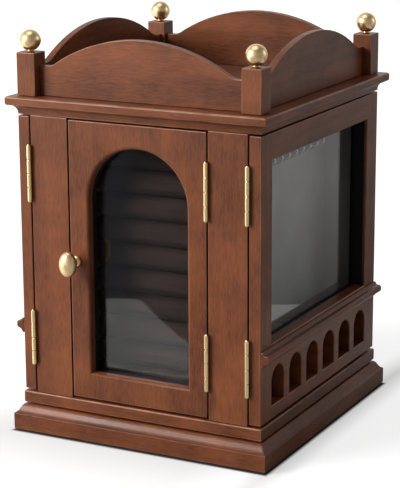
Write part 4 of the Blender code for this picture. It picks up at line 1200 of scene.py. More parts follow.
@dataclass
class Case(Assembly):
    """Stiles, boards and cornice of the turning case."""

    body: str = "case"
    edge: float = 0.0008
    board_edge: float = 0.0012
    cornice_overhang: float = 0.0082
    cornice_inner: float = -0.0118
    cove_depth: float = 0.0062
    cove_height: float = 0.0079
    cove_steps: int = 14
    slab_steps: int = 6
    slab_edge: float = 0.0018
    corner: float = 0.0012

    def build(self) -> None:
        """Makes the wooden parts that stand or lie square."""
        pockets = {"front_stile_left": [("left_door", 1)],
                   "front_stile_right": [("right_door", -1), ("front_door", 1)]}
        for node in ("front_stile_left", "front_stile_right", "back_stile_left", "back_stile_right"):
            low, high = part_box(node)
            stile = make(f"{node}_board", eased_box(low, high, self.edge))
            if node in pockets:
                cut_mortises(stile, pockets[node], low.y)
            else:
                self.line_inside(stile)
            # Its sides next to the doors are painted dark as shade in the gaps
            self.dress(stile, Finish.WALNUT_Z, "walnut", node, joints=ACROSS)
        for node, name, radius in (("bottom_board", "turning_bottom_board", self.board_edge),
                                   ("top_board", "tray_floor_board", SEAT_GAP)):
            self.piece(name, eased_box(*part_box(node), radius), Finish.WALNUT_X, "walnut", node)
        self.build_cornice()
        self.paint("bearing_upper_plate", Finish.ZINC)

    @staticmethod
    def line_inside(stile: Obj) -> None:
        """Lines the front of a back stile, which closes a side compartment, with felt."""
        give(stile, Finish.WALNUT_Z, Finish.GREY_FELT)
        for polygon in stile.data.polygons:
            polygon.material_index = int(polygon.normal.y < -JOINT_FACING)

    def build_cornice(self) -> None:
        """Makes the cove and slab that run round the top."""
        low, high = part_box("cornice_moulding")
        cove_top = low.z + self.cove_height
        cove = [(self.cove_depth * (1 - cos(a)), low.z + self.cove_height * sin(a))
                for a in quarter_turn(self.cove_steps)]
        out = self.cornice_overhang - self.slab_edge
        lower = quarter_round((out, cove_top + self.slab_edge), self.slab_edge, -pi / 2, self.slab_steps)
        upper = quarter_round((out, high.z - self.slab_edge), self.slab_edge, 0, self.slab_steps)
        profile = [(self.cornice_inner, low.z), *cove, *lower, *upper, (self.cornice_inner, high.z)]
        cornice = make("cornice_cove_and_slab", mitred_ring(
            profile, high.x - self.cornice_overhang, high.y - self.cornice_overhang, self.corner))
        # Its underside is painted dark as shade under the cove
        self.dress(split_grain(cornice), Finish.WALNUT_X, "walnut", "cornice_moulding", joints=[(Axis.Z, -1)])


@dataclass
class Gallery(Assembly):
    """Curved rails between square posts, with a brass ball on each post."""

    body: str = "case"
    first_board: float = 20.0
    crest_rise: float = 0.0265
    end_flat: float = 0.0065
    crest_share: float = 0.9
    rim: float = 0.0007
    post_edge: float = 0.0008
    ball_radius: float = 0.009
    foot_radius: float = 0.0030
    foot_height: float = 0.0009
    foot_flare: float = 1.08
    dowel_radius: float = 0.002
    dowel_tip: float = 0.8
    dowel_length: float = 0.012
    curve_steps: int = 26
    ball_steps: int = 36
    bore_sides: int = 24

    def outline(self, half_length: float, bottom: float, top: float) -> Outline:
        """Side view of a rail: a round crest that sweeps down into flat shoulders.

        Args:
            half_length: Half the rail's length.
            bottom: Its lower edge.
            top: Height of its crest.

        Returns:
            The outline, counter-clockwise.
        """
        run, rise = half_length - self.end_flat, self.crest_rise
        total = (run * run + rise * rise) / (2 * rise)
        crest, dip = total * self.crest_share, total * (1 - self.crest_share)
        turn, shoulder = asin(run / total), top - rise
        steps = self.curve_steps
        right = [(crest * sin(turn * i / steps), top - crest * (1 - cos(turn * i / steps)))
                 for i in range(steps + 1)]
        for i in range(1, steps // 3 + 1):
            angle = turn * (1 - i / (steps // 3))
            right.append((run - dip * sin(angle), shoulder + dip * (1 - cos(angle))))
        right.append((half_length, shoulder))
        left = [(-u, v) for u, v in right[1:]]
        return [(-half_length, bottom), (half_length, bottom), *reversed(right), *left]

    def build(self) -> None:
        """Makes the four rails, posts and balls."""
        for word in ("front", "back", "left", "right"):
            low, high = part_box(f"gallery_rail_{word}")
            if word in ("front", "back"):
                place = lambda u, v, depth, y=low.y: Vector((u, y + depth, v))
                half, thick, finish = high.x, high.y - low.y, Finish.WALNUT_X
            else:
                place = lambda u, v, depth, x=low.x: Vector((x + depth, u, v))
                half, thick, finish = high.y, high.x - low.x, Finish.WALNUT_Y
            rail = eased_plate(self.outline(half, low.z, high.z), place, thick, self.rim)
            self.piece(f"gallery_rail_{word}_board", rail, finish, "walnut", f"gallery_rail_{word}")
        for end in ("front", "back"):
            for side in ("left", "right"):
                self.build_post(f"{end}_{side}")

    def build_post(self, word: str) -> None:
        """Makes one post and its ball.

        Args:
            word: Which corner it stands on.
        """
        low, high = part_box(f"post_{word}")
        top = Vector((*((low + high) / 2).xy, high.z))
        post = make(f"post_{word}_block", eased_box(low, high, self.post_edge))
        bore_radius = self.dowel_radius + SEAT_GAP
        bore = make("bore", turned([(bore_radius, -self.dowel_length - SEAT_GAP), (bore_radius, CUT_OVERRUN)],
                                   top, self.bore_sides))
        self.dress(combine(post, [bore], "DIFFERENCE"), Finish.WALNUT_Z, "walnut", f"post_{word}")
        foot = SEAT_GAP + self.foot_height
        middle = foot + sqrt(self.ball_radius**2 - self.foot_radius**2)
        start = atan2(self.foot_radius, middle - foot)
        profile = [(self.dowel_radius * self.dowel_tip, -self.dowel_length),
                   (self.dowel_radius, -self.dowel_length + SEAT_GAP),
                   (self.dowel_radius, SEAT_GAP), (self.foot_radius, SEAT_GAP),
                   (self.foot_radius * self.foot_flare, SEAT_GAP + self.foot_height / 2)]
        profile += [(self.ball_radius * sin(a), middle - self.ball_radius * cos(a))
                    for a in (start + (pi - start) * i / self.ball_steps for i in range(self.ball_steps))]
        profile.append((self.ball_radius * POLE_SHARE, middle + self.ball_radius))
        self.piece(f"finial_{word}_ball", turned(profile, top, ROUND_SIDES), Finish.BRASS, "brass", f"finial_{word}")


@dataclass
class Hinges(Assembly):
    """Both leaves of the hinges of one door, with their pins and screws."""

    door: str = "front_door"
    fixed_body: str = "case"
    door_side: int = -1
    screw_radius: float = 0.0017
    screw_count: int = 3
    screw_proud: float = 0.00008
    screw_sides: int = 28
    screw_inset: float = 0.55
    shank_shares: Pair = (0.5, -0.6)
    head_shares: tuple[Pair, ...] = ((1.0, 0.0), (0.9, 0.6), (0.5, 1.0), (0.04, 1.0))
    slot_shares: Pair = (0.7, 0.16)

    def leaf(self, name: str, side: int, fixed: bool, foot: Vector) -> Obj:
        """Makes one leaf with its knuckles, and the pin on a fixed leaf.

        Args:
            name: Name of the piece.
            side: The side of the gap that it lies on.
            fixed: True for the leaf that holds the pin.
            foot: Foot of the pin.

        Returns:
            The leaf.
        """
        own = range(0 if fixed else 1, HINGE.knuckles, 2)
        near, far = HINGE.parting / 2, HINGE.parting / 2 + HINGE.leaf_thickness
        back = HINGE.radius + SEAT_GAP + HINGE.leaf_depth
        clear, inside = HINGE.radius + HINGE.knuckle_gap, HINGE.radius * HINGE.root_share
        edge_line = [(clear, 0.0)]
        for index in own:
            low, high = HINGE.span(index)
            edge_line += [(clear, low), (inside, low), (inside, high), (clear, high)]
        edge_line.append((clear, HINGE.length))
        outline = [(back, HINGE.length), *reversed(edge_line), (back, 0.0)]
        outline = [point for i, point in enumerate(outline) if point != outline[i - 1]]
        plate = make(name, lambda bm: loft(bm, [[foot + Vector((side * x, y, z)) for y, z in outline]
                                                for x in (near, far)]))
        parts = []
        bore, cut = HINGE.bore_radius, HINGE.chamfer
        for index in own:
            low, high = HINGE.span(index)
            wall = [(HINGE.radius - cut, low), (HINGE.radius, low + cut), (HINGE.radius, high - cut),
                    (HINGE.radius - cut, high)]
            section = wall if fixed else [(bore, low), *wall, (bore, high)]
            parts.append(make(f"knuckle_{index}", turned(section, foot, HINGE.sides, not fixed)))
        if fixed:
            end = HINGE.length + SEAT_GAP
            dome = [(HINGE.cap_radius * out, HINGE.cap_height * up) for out, up in HINGE.cap_shares]
            profile = [*[(r, -SEAT_GAP - h) for r, h in reversed(dome)], (HINGE.pin_radius, -SEAT_GAP),
                       (HINGE.pin_radius, end), *[(r, end + h) for r, h in dome]]
            parts.append(make("pin", turned(profile, foot, HINGE.sides)))
        return combine(plate, parts, "UNION")

    def screws(self, name: str, side: int, foot: Vector) -> Obj:
        """Makes a leaf's row of cross-slotted screw heads, seen when the door stands open.

        Args:
            name: Name of the row.
            side: The side of the gap that the leaf lies on.
            foot: Foot of the hinge's pin.

        Returns:
            The row.
        """
        proud, radius = self.screw_proud, self.screw_radius
        profile = [(radius * self.shank_shares[0], HINGE.leaf_thickness * self.shank_shares[1]),
                   *((radius * out, proud * up) for out, up in self.head_shares)]
        head = make("screw_head", turned(profile, Vector(), self.screw_sides))
        long, thin = (radius * share for share in self.slot_shares)
        slots = [make(f"slot_{i}", eased_box((-a, -b, -proud * 5), (a, b, proud * 3), proud / 2, 1))
                 for i, (a, b) in enumerate(((long, thin), (thin, long)))]
        combine(head, slots, "DIFFERENCE")
        head.data.transform(Matrix.Rotation(-side * pi / 2, 4, "Y"))
        pitch = HINGE.length / self.screw_count
        start = foot + Vector((side * HINGE.parting / 2, HINGE.radius + HINGE.leaf_depth * self.screw_inset,
                               pitch / 2))
        return REPEAT.copies(name, head, Finish.HINGE_BRASS.get(), self.screw_count, start,
                             Vector((0, 0, pitch)), Vector((pi / 2, 0, 0)))

    def build(self) -> None:
        """Makes both hinges of the door."""
        for word in ("lower", "upper"):
            foot = HINGE.axis(self.door, word)
            for kind, side, fixed, body in (("fixed", -self.door_side, True, self.fixed_body),
                                            ("moving", self.door_side, False, self.body)):
                node = f"{self.door}_{word}_hinge_{kind}_leaf"
                holder = Assembly(body)
                holder.dress(self.leaf(f"{node}_brass", side, fixed, foot), Finish.HINGE_BRASS, "brass", node)
                holder.dress(self.screws(f"{node}_screws", side, foot), Finish.HINGE_BRASS, "brass", node)


# Sides of a piece that face the gaps round it, painted dark as shade in the gap
ACROSS = ((Axis.X, 1), (Axis.X, -1))
ALL_ROUND = (*ACROSS, (Axis.Z, 1), (Axis.Z, -1))


def paint_reveal_shade(obj: Obj, axis: Axis, face: float, bare: float,
                   window: Sequence[float] | None = None, bare_sill: float = 0.0) -> None:
    """Paints the inner part of a window's reveal black, as painted shade in the deep reveal.

    Args:
        obj: The door.
        axis: The direction through the door.
        face: Its outer face's place along that direction.
        bare: Depth of the part that keeps its wood.
        window: Lowest and highest place of the reveal along Y, then Z; None takes every opening.
        bare_sill: The same depth for the sill, where that is more.
    """
    if not obj.data.materials:
        give(obj, Finish.WALNUT_Z)
    give(obj, Finish.BLACK)
    last = len(obj.data.materials) - 1
    low, high = extent(obj)
    for polygon in obj.data.polygons:
        place = polygon.center
        inside = all(axis.value == i or low[i] + WINDOW_MARGIN < place[i] < high[i] - WINDOW_MARGIN for i in range(3))
        if window:
            inside = inside and place.z > window[2] - NARROW_FACE
        depth = max(bare, bare_sill) if polygon.normal.z > JOINT_FACING else bare
        if inside and abs(polygon.normal[axis.value]) < REVEAL_LEAN and abs(place[axis.value] - face) > depth:
            polygon.material_index = last


@dataclass(frozen=True)
class OvalKnob:
    """An oval brass knob on a round rose."""

    half_wide: float = 0.0082
    half_tall: float = 0.0115
    half_deep: float = 0.0064
    reach: float = 0.0138
    rose: float = 0.005
    rose_height: float = 0.0022
    rose_rounding: float = 0.0009
    neck: float = 0.0026
    neck_foot: tuple[Pair, ...] = ((0.0011, 0.0001), (0.0003, 0.0008), (0.0, 0.0022))
    neck_end: float = 0.0002
    steps: int = 28

    def rows(self) -> list[Triple]:
        """Half width, half height and distance from the wood, from the rose to the knob's front."""
        rose, half, neck = self.rose, self.rose_height * 0.5, self.neck
        round_rows = [(rose, SEAT_GAP), (rose, half)]
        round_rows += [(rose - self.rose_rounding * (1 - cos(a)), half + half * sin(a))
                       for a in quarter_turn(CORNER_STEPS)[1:]]
        round_rows += [(neck + wider, self.rose_height + away) for wider, away in self.neck_foot]
        start = asin(neck / self.half_wide)
        round_rows.append((neck, self.reach - self.half_deep * cos(start) - self.neck_end))
        rows = [(radius, radius, away) for radius, away in round_rows]
        for i in range(1, self.steps):
            angle = start + (pi - start) * i / self.steps
            tall = self.half_tall * sin(angle)
            rows.append((self.half_wide * sin(angle), max(tall, neck) if angle < pi / 2 else tall,
                         self.reach - self.half_deep * cos(angle)))
        return [*rows, (self.half_wide * POLE_SHARE, self.half_tall * POLE_SHARE, self.reach + self.half_deep)]

    def shape(self, centre: Vector, out: int) -> Fill:
        """The knob, from the place where its axis meets the wood and the way it points along Y."""
        turns = [2 * pi * i / ROUND_SIDES for i in range(ROUND_SIDES)]
        return lambda bm: loft(bm, [[centre + Vector((across * cos(a), out * away, tall * sin(a))) for a in turns]
                                    for across, tall, away in self.rows()])


KNOB = OvalKnob()


@dataclass
class FrontDoor(Assembly):
    """The arched glass door, hung on the right."""

    body: str = "front_door"
    first_board: float = 40.0
    edge: float = 0.0009
    half_window: float = 0.047
    bottom_rail: float = 0.0233
    top_rail: float = 0.0206
    window_edge: float = 0.003
    window_edge_steps: int = 7
    bare_reveal: float = 0.0075
    glass_lap: float = 0.004
    bead_width: float = 0.0068
    bead_lip: float = 0.0015
    bead_back: float = 0.002
    glass_thickness: float = 0.002
    arc_steps: int = 56

    def build(self) -> None:
        """Makes the panel, glass, bead, knob and hinges."""
        low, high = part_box("front_door_panel")
        thick = high.y - low.y
        window = (-self.half_window, self.half_window, low.z + self.bottom_rail, high.z - self.top_rail)

        def place(u: float, v: float, depth: float) -> Vector:
            """Point on the door from x, z and a depth behind its face."""
            return Vector((u, low.y + depth, v))

        arch = partial(arch_outline, window, steps=self.arc_steps)
        panel = make("front_door_arched_panel", eased_box(low, high, self.edge))
        section = rounded_cut(self.window_edge, thick, self.window_edge_steps, self.bare_reveal)
        combine(panel, [make("window", sweep(place, arch, section))], "DIFFERENCE")
        cut_mortises(panel, [("front_door", -1)], low.y)
        # Deep reveal faces painted black as shade; the panel's four sides are painted dark as shade in the gaps round
        # the door
        paint_reveal_shade(panel, Axis.Y, low.y, self.bare_reveal)
        self.dress(panel, Finish.WALNUT_Z, "walnut", "front_door_panel", joints=ALL_ROUND)

        start = thick + SEAT_GAP
        back = start + self.glass_thickness
        pane = [(self.glass_lap, start), (self.glass_lap, back)]
        self.piece("front_door_arched_glass", sweep(place, arch, pane), Finish.GLASS, "glass", "front_door_glass")
        hold, outer = self.glass_lap + SEAT_GAP, self.bead_width
        bead = [(hold, start), (outer, start), (outer, back + self.bead_back), (self.bead_lip, back + self.bead_back),
                (self.bead_lip, back + SEAT_GAP), (hold, back + SEAT_GAP)]
        self.piece("front_door_black_bead", sweep(place, arch, bead, True), Finish.BLACK, "black_lining",
                   "front_door_glass_bead")
        middle = sum(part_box("front_door_knob"), Vector()) / 2
        self.piece("front_door_oval_knob", KNOB.shape(Vector((middle.x, low.y, middle.z)), -1), Finish.BRASS,
                   "brass", "front_door_knob")
        Hinges(self.body, door="front_door", door_side=-1).build()


@dataclass
class SideDoor(Assembly):
    """A full-height glazed door over an arcade, hung at the front corner."""

    body: str = "right_door"
    first_board: float = 60.0
    side: int = 1
    edge: float = 0.0009
    front_stile: float = 0.0215
    back_stile: float = 0.024
    top_rail: float = 0.0226
    lower_rail: float = 0.0661
    window_edge: float = 0.0012
    window_edge_steps: int = 4
    bare_reveal: float = 0.0028
    bare_sill: float = 0.0115
    arches: int = 6
    arch_pitch: float = 0.036
    arch_width: float = 0.0255
    arch_height: float = 0.033
    arch_sill: float = 0.0116
    arc_steps: int = 28
    glass_recess: float = 0.0024
    glass_thickness: float = 0.002
    glass_lap: float = 0.004
    channel_width: float = 0.0068
    channel_lip: float = 0.0008
    channel_back: float = 0.002
    backing_margin: float = 0.005
    backing_thickness: float = 0.0018
    ledge_ease: float = 0.0004
    ledge_steps: int = 4
    ledge_shares: tuple[Pair, ...] = (
        (0.16, 0.0), (0.26, 0.10), (0.46, 0.24), (0.78, 0.30), (0.95, 0.38), (1.0, 0.52), (0.96, 0.68),
        (0.80, 0.78), (0.52, 0.80), (0.30, 0.86), (0.18, 1.0))

    def build(self) -> None:
        """Makes the frame, ledge, glass, linings and hinges."""
        word = self.body
        low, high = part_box(f"{word}_frame")
        thick = high.x - low.x
        face = self.side * max(abs(low.x), abs(high.x))
        window = (low.y + self.front_stile, high.y - self.back_stile, low.z + self.lower_rail, high.z - self.top_rail)

        def place(u: float, v: float, depth: float) -> Vector:
            """Point on the door from y, z and a depth behind its outer face."""
            return Vector((face - self.side * depth, u, v))

        square = partial(square_outline, window)
        section = rounded_cut(self.window_edge, thick, self.window_edge_steps, self.bare_reveal, self.bare_sill)
        door = make(f"{word}_frame_and_arcade", eased_box(low, high, self.edge))
        cutter = make("window", sweep(place, square, section))
        sill = low.z + self.arch_sill
        opening = (-self.arch_width / 2, self.arch_width / 2, sill, sill + self.arch_height)
        pattern = make("arch", sweep(place, partial(arch_outline, opening, steps=self.arc_steps), section))
        reach = (self.arches - 1) / 2 * self.arch_pitch
        arcade = REPEAT.copies("arcade", pattern, None, self.arches, Vector((0, -reach, 0)),
                               Vector((0, self.arch_pitch, 0)))
        combine(door, [cutter, arcade], "DIFFERENCE")
        cut_mortises(door, [(word, self.side)], low.y)
        self.rail_grain(door, window)
        # Deep reveal faces painted black, as painted shade
        paint_reveal_shade(door, Axis.X, face, self.bare_reveal, window, self.bare_sill)
        # Its inner side, top and bottom are painted dark as shade in the gaps
        self.dress(door, Finish.WALNUT_Z, "walnut", f"{word}_frame",
                   joints=[(Axis.X, -self.side), (Axis.Z, 1), (Axis.Z, -1)])
        self.build_ledge(face)

        start = thick + SEAT_GAP
        front = start + self.glass_recess
        back = front + self.glass_thickness
        pane = [(self.glass_lap, front), (self.glass_lap, back)]
        self.piece(f"{word}_glass_pane", sweep(place, square, pane), Finish.GLASS, "glass", f"{word}_glass")
        hold, outer, lip = self.glass_lap + SEAT_GAP, self.channel_width, self.channel_lip
        channel = [(0, start), (outer, start), (outer, back + self.channel_back), (lip, back + self.channel_back),
                   (lip, back + SEAT_GAP), (hold, back + SEAT_GAP), (hold, front - SEAT_GAP), (0, front - SEAT_GAP)]
        self.piece(f"{word}_glass_channel", sweep(place, square, channel, True), Finish.BLACK, "black_lining",
                   f"{word}_liner")
        margin = self.backing_margin
        half = reach + self.arch_width / 2 + margin
        near, far = sorted((face - self.side * start, face - self.side * (start + self.backing_thickness)))
        backing = eased_box((near, -half, sill - margin), (far, half, window[2] - outer - SEAT_GAP), SEAT_GAP, 2)
        self.piece(f"{word}_arcade_backing", backing, Finish.ARCADE_BACK, "black_lining", f"{word}_liner")
        Hinges(self.body, door=word, door_side=self.side).build()

    @staticmethod
    def rail_grain(door: Obj, window: Sequence[float]) -> None:
        """Turns the grain of the two rails, which run between the stiles.

        Args:
            door: The door's frame.
            window: Its window, whose sides are the joints.
        """
        bm = bmesh.new()
        bm.from_mesh(door.data)
        for y in window[:2]:
            bmesh.ops.bisect_plane(bm, geom=[*bm.verts, *bm.edges, *bm.faces], dist=MERGE, plane_co=(0, y, 0),
                                   plane_no=(0, 1, 0))
        bm.to_mesh(door.data)
        bm.free()
        give(door, Finish.WALNUT_Z, Finish.WALNUT_Y)
        for polygon in door.data.polygons:
            polygon.material_index = int(window[0] < polygon.center.y < window[1])

    def build_ledge(self, face: float) -> None:
        """Makes the moulded ledge over the arcade.

        Args:
            face: The door's outer face.
        """
        low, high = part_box(f"{self.body}_ledge")
        inner = face + self.side * SEAT_GAP
        reach, tall = high.x - low.x, high.z - low.z
        curve = smooth_line([(inner + self.side * reach * out, low.z + tall * up) for out, up in self.ledge_shares],
                            self.ledge_steps)
        profile = [(inner, low.z), *curve, (inner, high.z)]
        ease, middle = self.ledge_ease, (low + high) / 2

        def loop(y: float, shrink: float) -> list[Vector]:
            """The section at one place along the ledge."""
            return [Vector((middle.x + (x - middle.x) * shrink, y, middle.z + (z - middle.z) * shrink))
                    for x, z in profile]

        drawn = 1 - 2 * ease / reach
        rows = [loop(low.y, drawn), loop(low.y + ease, 1), loop(high.y - ease, 1), loop(high.y, drawn)]
        self.piece(f"{self.body}_moulded_ledge", lambda bm: loft(bm, rows), Finish.WALNUT_Y, "walnut",
                   f"{self.body}_ledge")


# Inside

CELL_FLOOR, CELL_TOP, RUNNER_HEIGHT, HEAD_CLEARANCE = 0.0361, 0.2845, 0.004, 0.0025
CELL_PITCH = (CELL_TOP - CELL_FLOOR) / 3
RUNNER_LEVELS = tuple((middle - RUNNER_HEIGHT / 2, middle + RUNNER_HEIGHT / 2)
                      for middle in (CELL_FLOOR + CELL_PITCH, CELL_FLOOR + 2 * CELL_PITCH))
BOX_LEVELS = {
    "lower": (CELL_FLOOR + SEAT_GAP, RUNNER_LEVELS[0][0] - HEAD_CLEARANCE),
    "middle": (RUNNER_LEVELS[0][1] + SEAT_GAP, RUNNER_LEVELS[1][0] - HEAD_CLEARANCE),
    "upper": (RUNNER_LEVELS[1][1] + SEAT_GAP, CELL_TOP - HEAD_CLEARANCE),
}


@dataclass
class NecklaceSpace(Assembly):
    """Felt wall, catch tray, drawer runners and hooks of one side compartment."""

    body: str = "case"
    first_board: float = 80.0
    side: int = 1
    word: str = "right"
    wall_inner: float = 0.062
    wall_outer: float = 0.068
    edge: float = 0.0007
    runner_width: float = 0.007
    runner_length: float = 0.150
    runner_edge: float = 0.0005
    tray_front: float = 0.001
    tray_length: float = 0.092
    tray_bottom: float = 0.0939
    tray_height: float = 0.0045
    tray_wall: float = 0.002
    tray_rim: float = 0.0006
    felt_thickness: float = 0.0012
    felt_edge: float = 0.0004
    hook_count: int = 11
    hook_pitch: float = 0.015
    wire_radius: float = 0.0007
    shank: float = 0.0065
    bend_radius: float = 0.003
    bend_turn: float = 0.85
    bend_steps: int = 18
    wire_sides: int = 14
    rail_thickness: float = 0.0045
    rail_height: float = 0.010

    def span_x(self, inner: float, outer: float) -> Pair:
        """Lowest and highest X between two distances from the middle of the case."""
        return tuple(sorted((self.side * inner, self.side * outer)))

    def build(self) -> None:
        """Makes the wall, the runners, the tray and the row of hooks."""
        node = f"compartment_wall_{self.word}"
        low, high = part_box(node)
        x0, x1 = self.span_x(self.wall_inner, self.wall_outer)
        self.piece(f"felt_wall_{self.word}", eased_box((x0, low.y, low.z), (x1, high.y, high.z), self.edge),
                   Finish.GREY_FELT, "grey_felt", node)
        self.build_runners(node, high.y)
        self.build_tray(node, low.y)
        self.build_hooks()

    def build_runners(self, node: str, back: float) -> None:
        """Makes the wooden runners that the upper drawers slide on.

        Args:
            node: The frame's node that holds them.
            back: Their back end.
        """
        x0, x1 = self.span_x(self.wall_inner - self.runner_width, self.wall_inner)
        front = back - self.runner_length
        fills = [eased_box((x0, front, bottom), (x1, back, top), self.runner_edge) for bottom, top in RUNNER_LEVELS]
        self.dress(make(f"drawer_runners_{self.word}", *fills), Finish.INNER_Y, "inner_wood", node)

    def build_tray(self, node: str, front: float) -> None:
        """Makes the catch tray, lined with pale felt.

        Args:
            node: The frame's node that holds it.
            front: Its front end.
        """
        x0, x1 = self.span_x(self.wall_outer, max(abs(corner.x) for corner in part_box(node)))
        outer = square_outline((x0, x1, front + self.tray_front, front + self.tray_length), 0)
        tray = open_box(outer, self.tray_bottom, self.tray_bottom + self.tray_height, self.tray_wall, self.tray_rim)
        self.piece(f"catch_tray_{self.word}", tray, Finish.GREY_FELT, "grey_felt", node)
        lining = box_lining(outer, self.tray_bottom, self.tray_wall, self.felt_thickness, self.felt_edge)
        self.piece(f"catch_tray_lining_{self.word}", lining, Finish.PALE_FELT, "grey_felt", node)

    def build_hooks(self) -> None:
        """Makes the grey rail with its row of bent-wire hooks."""
        node = f"hook_rail_{self.word}"
        low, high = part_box(node)
        middle = low.z + self.rail_height / 2
        inner = self.wall_outer + SEAT_GAP
        x0, x1 = self.span_x(inner, inner + self.rail_thickness)
        rail = eased_box((x0, low.y, middle - self.rail_height / 2), (x1, high.y, middle + self.rail_height / 2),
                         self.edge)
        self.piece(f"hook_rail_bar_{self.word}", rail, Finish.RAIL_GREY, "brass", node)
        face = self.side * (inner + self.rail_thickness)
        path = [(-self.rail_thickness / 2, 0.0), (self.shank, 0.0)]
        for i in range(1, self.bend_steps + 1):
            angle = pi * self.bend_turn * i / self.bend_steps
            path.append((self.shank + self.bend_radius * sin(angle), self.bend_radius * (1 - cos(angle))))
        mesh = bpy.data.meshes.new("hook_path")
        mesh.from_pydata([(self.side * out, 0.0, up) for out, up in path],
                         [(i, i + 1) for i in range(len(path) - 1)], [])
        hook = REPEAT.run(link("hook", mesh), REPEAT.wire, Wire_Radius=self.wire_radius, Sides=self.wire_sides,
                          Finish=Finish.HOOK_WIRE.get())
        first = Vector((face, -(self.hook_count - 1) / 2 * self.hook_pitch, middle))
        row = REPEAT.copies(f"hooks_{self.word}", hook, Finish.HOOK_WIRE.get(), self.hook_count, first,
                            Vector((0, self.hook_pitch, 0)))
        self.dress(row, Finish.HOOK_WIRE, "brass", node)


@dataclass
class RingRolls(Assembly):
    """Velvet rolls that hold rings in the slits between them."""

    body: str = "case"
    count: int = 11
    pitch: float = 0.022
    half_length: float = 0.0611
    slit: float = 0.0013
    depth: float = 0.0220
    front_clearance: float = 0.0008
    backing: float = 0.0045
    backing_edge: float = 0.0007
    voxel: float = 0.0014
    swell_cap: float = 0.0008
    flat_share: float = 0.25
    front_power: float = 0.24
    edge_power: float = 0.8
    pressure: float = 4.0
    stiffness: float = 25
    mass: float = 0.15
    frames: int = 20
    leans: Triple = (-0.012, 0.0, 0.014)
    front_steps: int = 22
    end_taper: tuple[Pair, ...] = ((0.0, 0.84), (0.0012, 0.93), (0.004, 1.0))
    seat: float = 0.0002

    def section(self, height: float, depth: float, lean: float, steps: int) -> Outline:
        """Section of a roll: a nearly flat front with round edges, and a flat back.

        Args:
            height: Height of the roll.
            depth: Depth of the roll.
            lean: How much the front's crest lies above the middle, as a share of the height.
            steps: Steps round the front.

        Returns:
            Points from the lower back to the upper back, as distance forward and height.
        """
        flat = self.flat_share
        points = [(0.0, -height / 2), (depth * flat, -height / 2)]
        for i in range(steps + 1):
            angle = -pi / 2 + pi * i / steps
            c, s = cos(angle), sin(angle)
            forward = flat + (1 - flat) * abs(c) ** self.front_power
            points.append((depth * forward, height / 2 * copysign(abs(s) ** self.edge_power, s) + lean * height * c))
        return [*points, (depth * flat, height / 2), (0.0, height / 2)]

    def roll(self, name: str, kind: int) -> Obj:
        """Makes one roll about the origin, front towards -Y, and swells it like stuffed cloth.

        Args:
            name: Name of the object.
            kind: Which of the slightly different rolls.

        Returns:
            The roll.
        """
        height, depth = self.pitch - self.slit, self.depth - self.front_clearance
        outline = self.section(height, depth, self.leans[kind], self.front_steps)
        ends = [(inset - self.half_length, drawn) for inset, drawn in self.end_taper]
        rows = [[Vector((x, -forward * drawn, up * drawn)) for forward, up in outline]
                for x, drawn in (*ends, *((-x, drawn) for x, drawn in reversed(ends)))]
        obj = make(name, lambda bm: loft(bm, rows))
        remesh = obj.modifiers.new("even_cloth", "REMESH")
        remesh.mode, remesh.voxel_size = "VOXEL", self.voxel
        settle(obj)
        self.swell(obj)
        rounding = obj.modifiers.new("rounding", "SUBSURF")
        rounding.levels = rounding.render_levels = 1
        settle(obj)
        obj.data.shade_smooth()
        return obj

    def swell(self, obj: Obj) -> None:
        """Inflates a roll by cloth simulation, held at its back.

        Args:
            obj: The roll.
        """
        start = [vert.co.copy() for vert in obj.data.vertices]
        held = obj.vertex_groups.new(name="held_back")
        held.add([i for i, co in enumerate(start) if co.y > -self.voxel], 1.0, "REPLACE")
        cloth = obj.modifiers.new("stuffing", "CLOTH")
        settings = cloth.settings
        settings.quality, settings.mass = 4, self.mass
        settings.tension_stiffness = settings.compression_stiffness = self.stiffness
        settings.use_pressure, settings.uniform_pressure_force = True, self.pressure
        settings.vertex_group_mass = held.name
        settings.effector_weights.gravity = 0
        cloth.point_cache.frame_start, cloth.point_cache.frame_end = 1, self.frames
        scene = bpy.context.scene
        for step in range(1, self.frames + 1):
            scene.frame_set(step)
        settle(obj)
        for vert, rest in zip(obj.data.vertices, start):
            move = vert.co - rest
            if move.length > self.swell_cap:
                vert.co = rest + move * (self.swell_cap / move.length)
        scene.frame_set(1)
        obj.vertex_groups.clear()

    def build(self) -> None:
        """Makes the backing board and the column of rolls."""
        low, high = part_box("ring_pad")
        board = eased_box((low.x, high.y - self.backing, low.z), high, self.backing_edge)
        self.piece("ring_roll_backing", board, Finish.VELVET, "velvet", "ring_pad")
        patterns = [self.roll(f"roll_pattern_{kind}", kind) for kind in range(len(self.leans))]
        first = (low.z + high.z - (self.count - 1) * self.pitch) / 2
        for i in range(self.count):
            pattern = patterns[(i * 2) % len(patterns)]
            roll = link(f"ring_roll_{i + 1:02d}", pattern.data.copy())
            place = Vector((0, high.y - self.backing - self.seat, first + i * self.pitch))
            flip = Matrix.Rotation(pi, 4, "Y") if i % 2 else Matrix()
            roll.data.transform(Matrix.Translation(place) @ flip)
            self.dress(roll, Finish.VELVET, "velvet", "ring_pad", shade=False)
        for pattern in patterns:
            bpy.data.objects.remove(pattern, do_unlink=True)


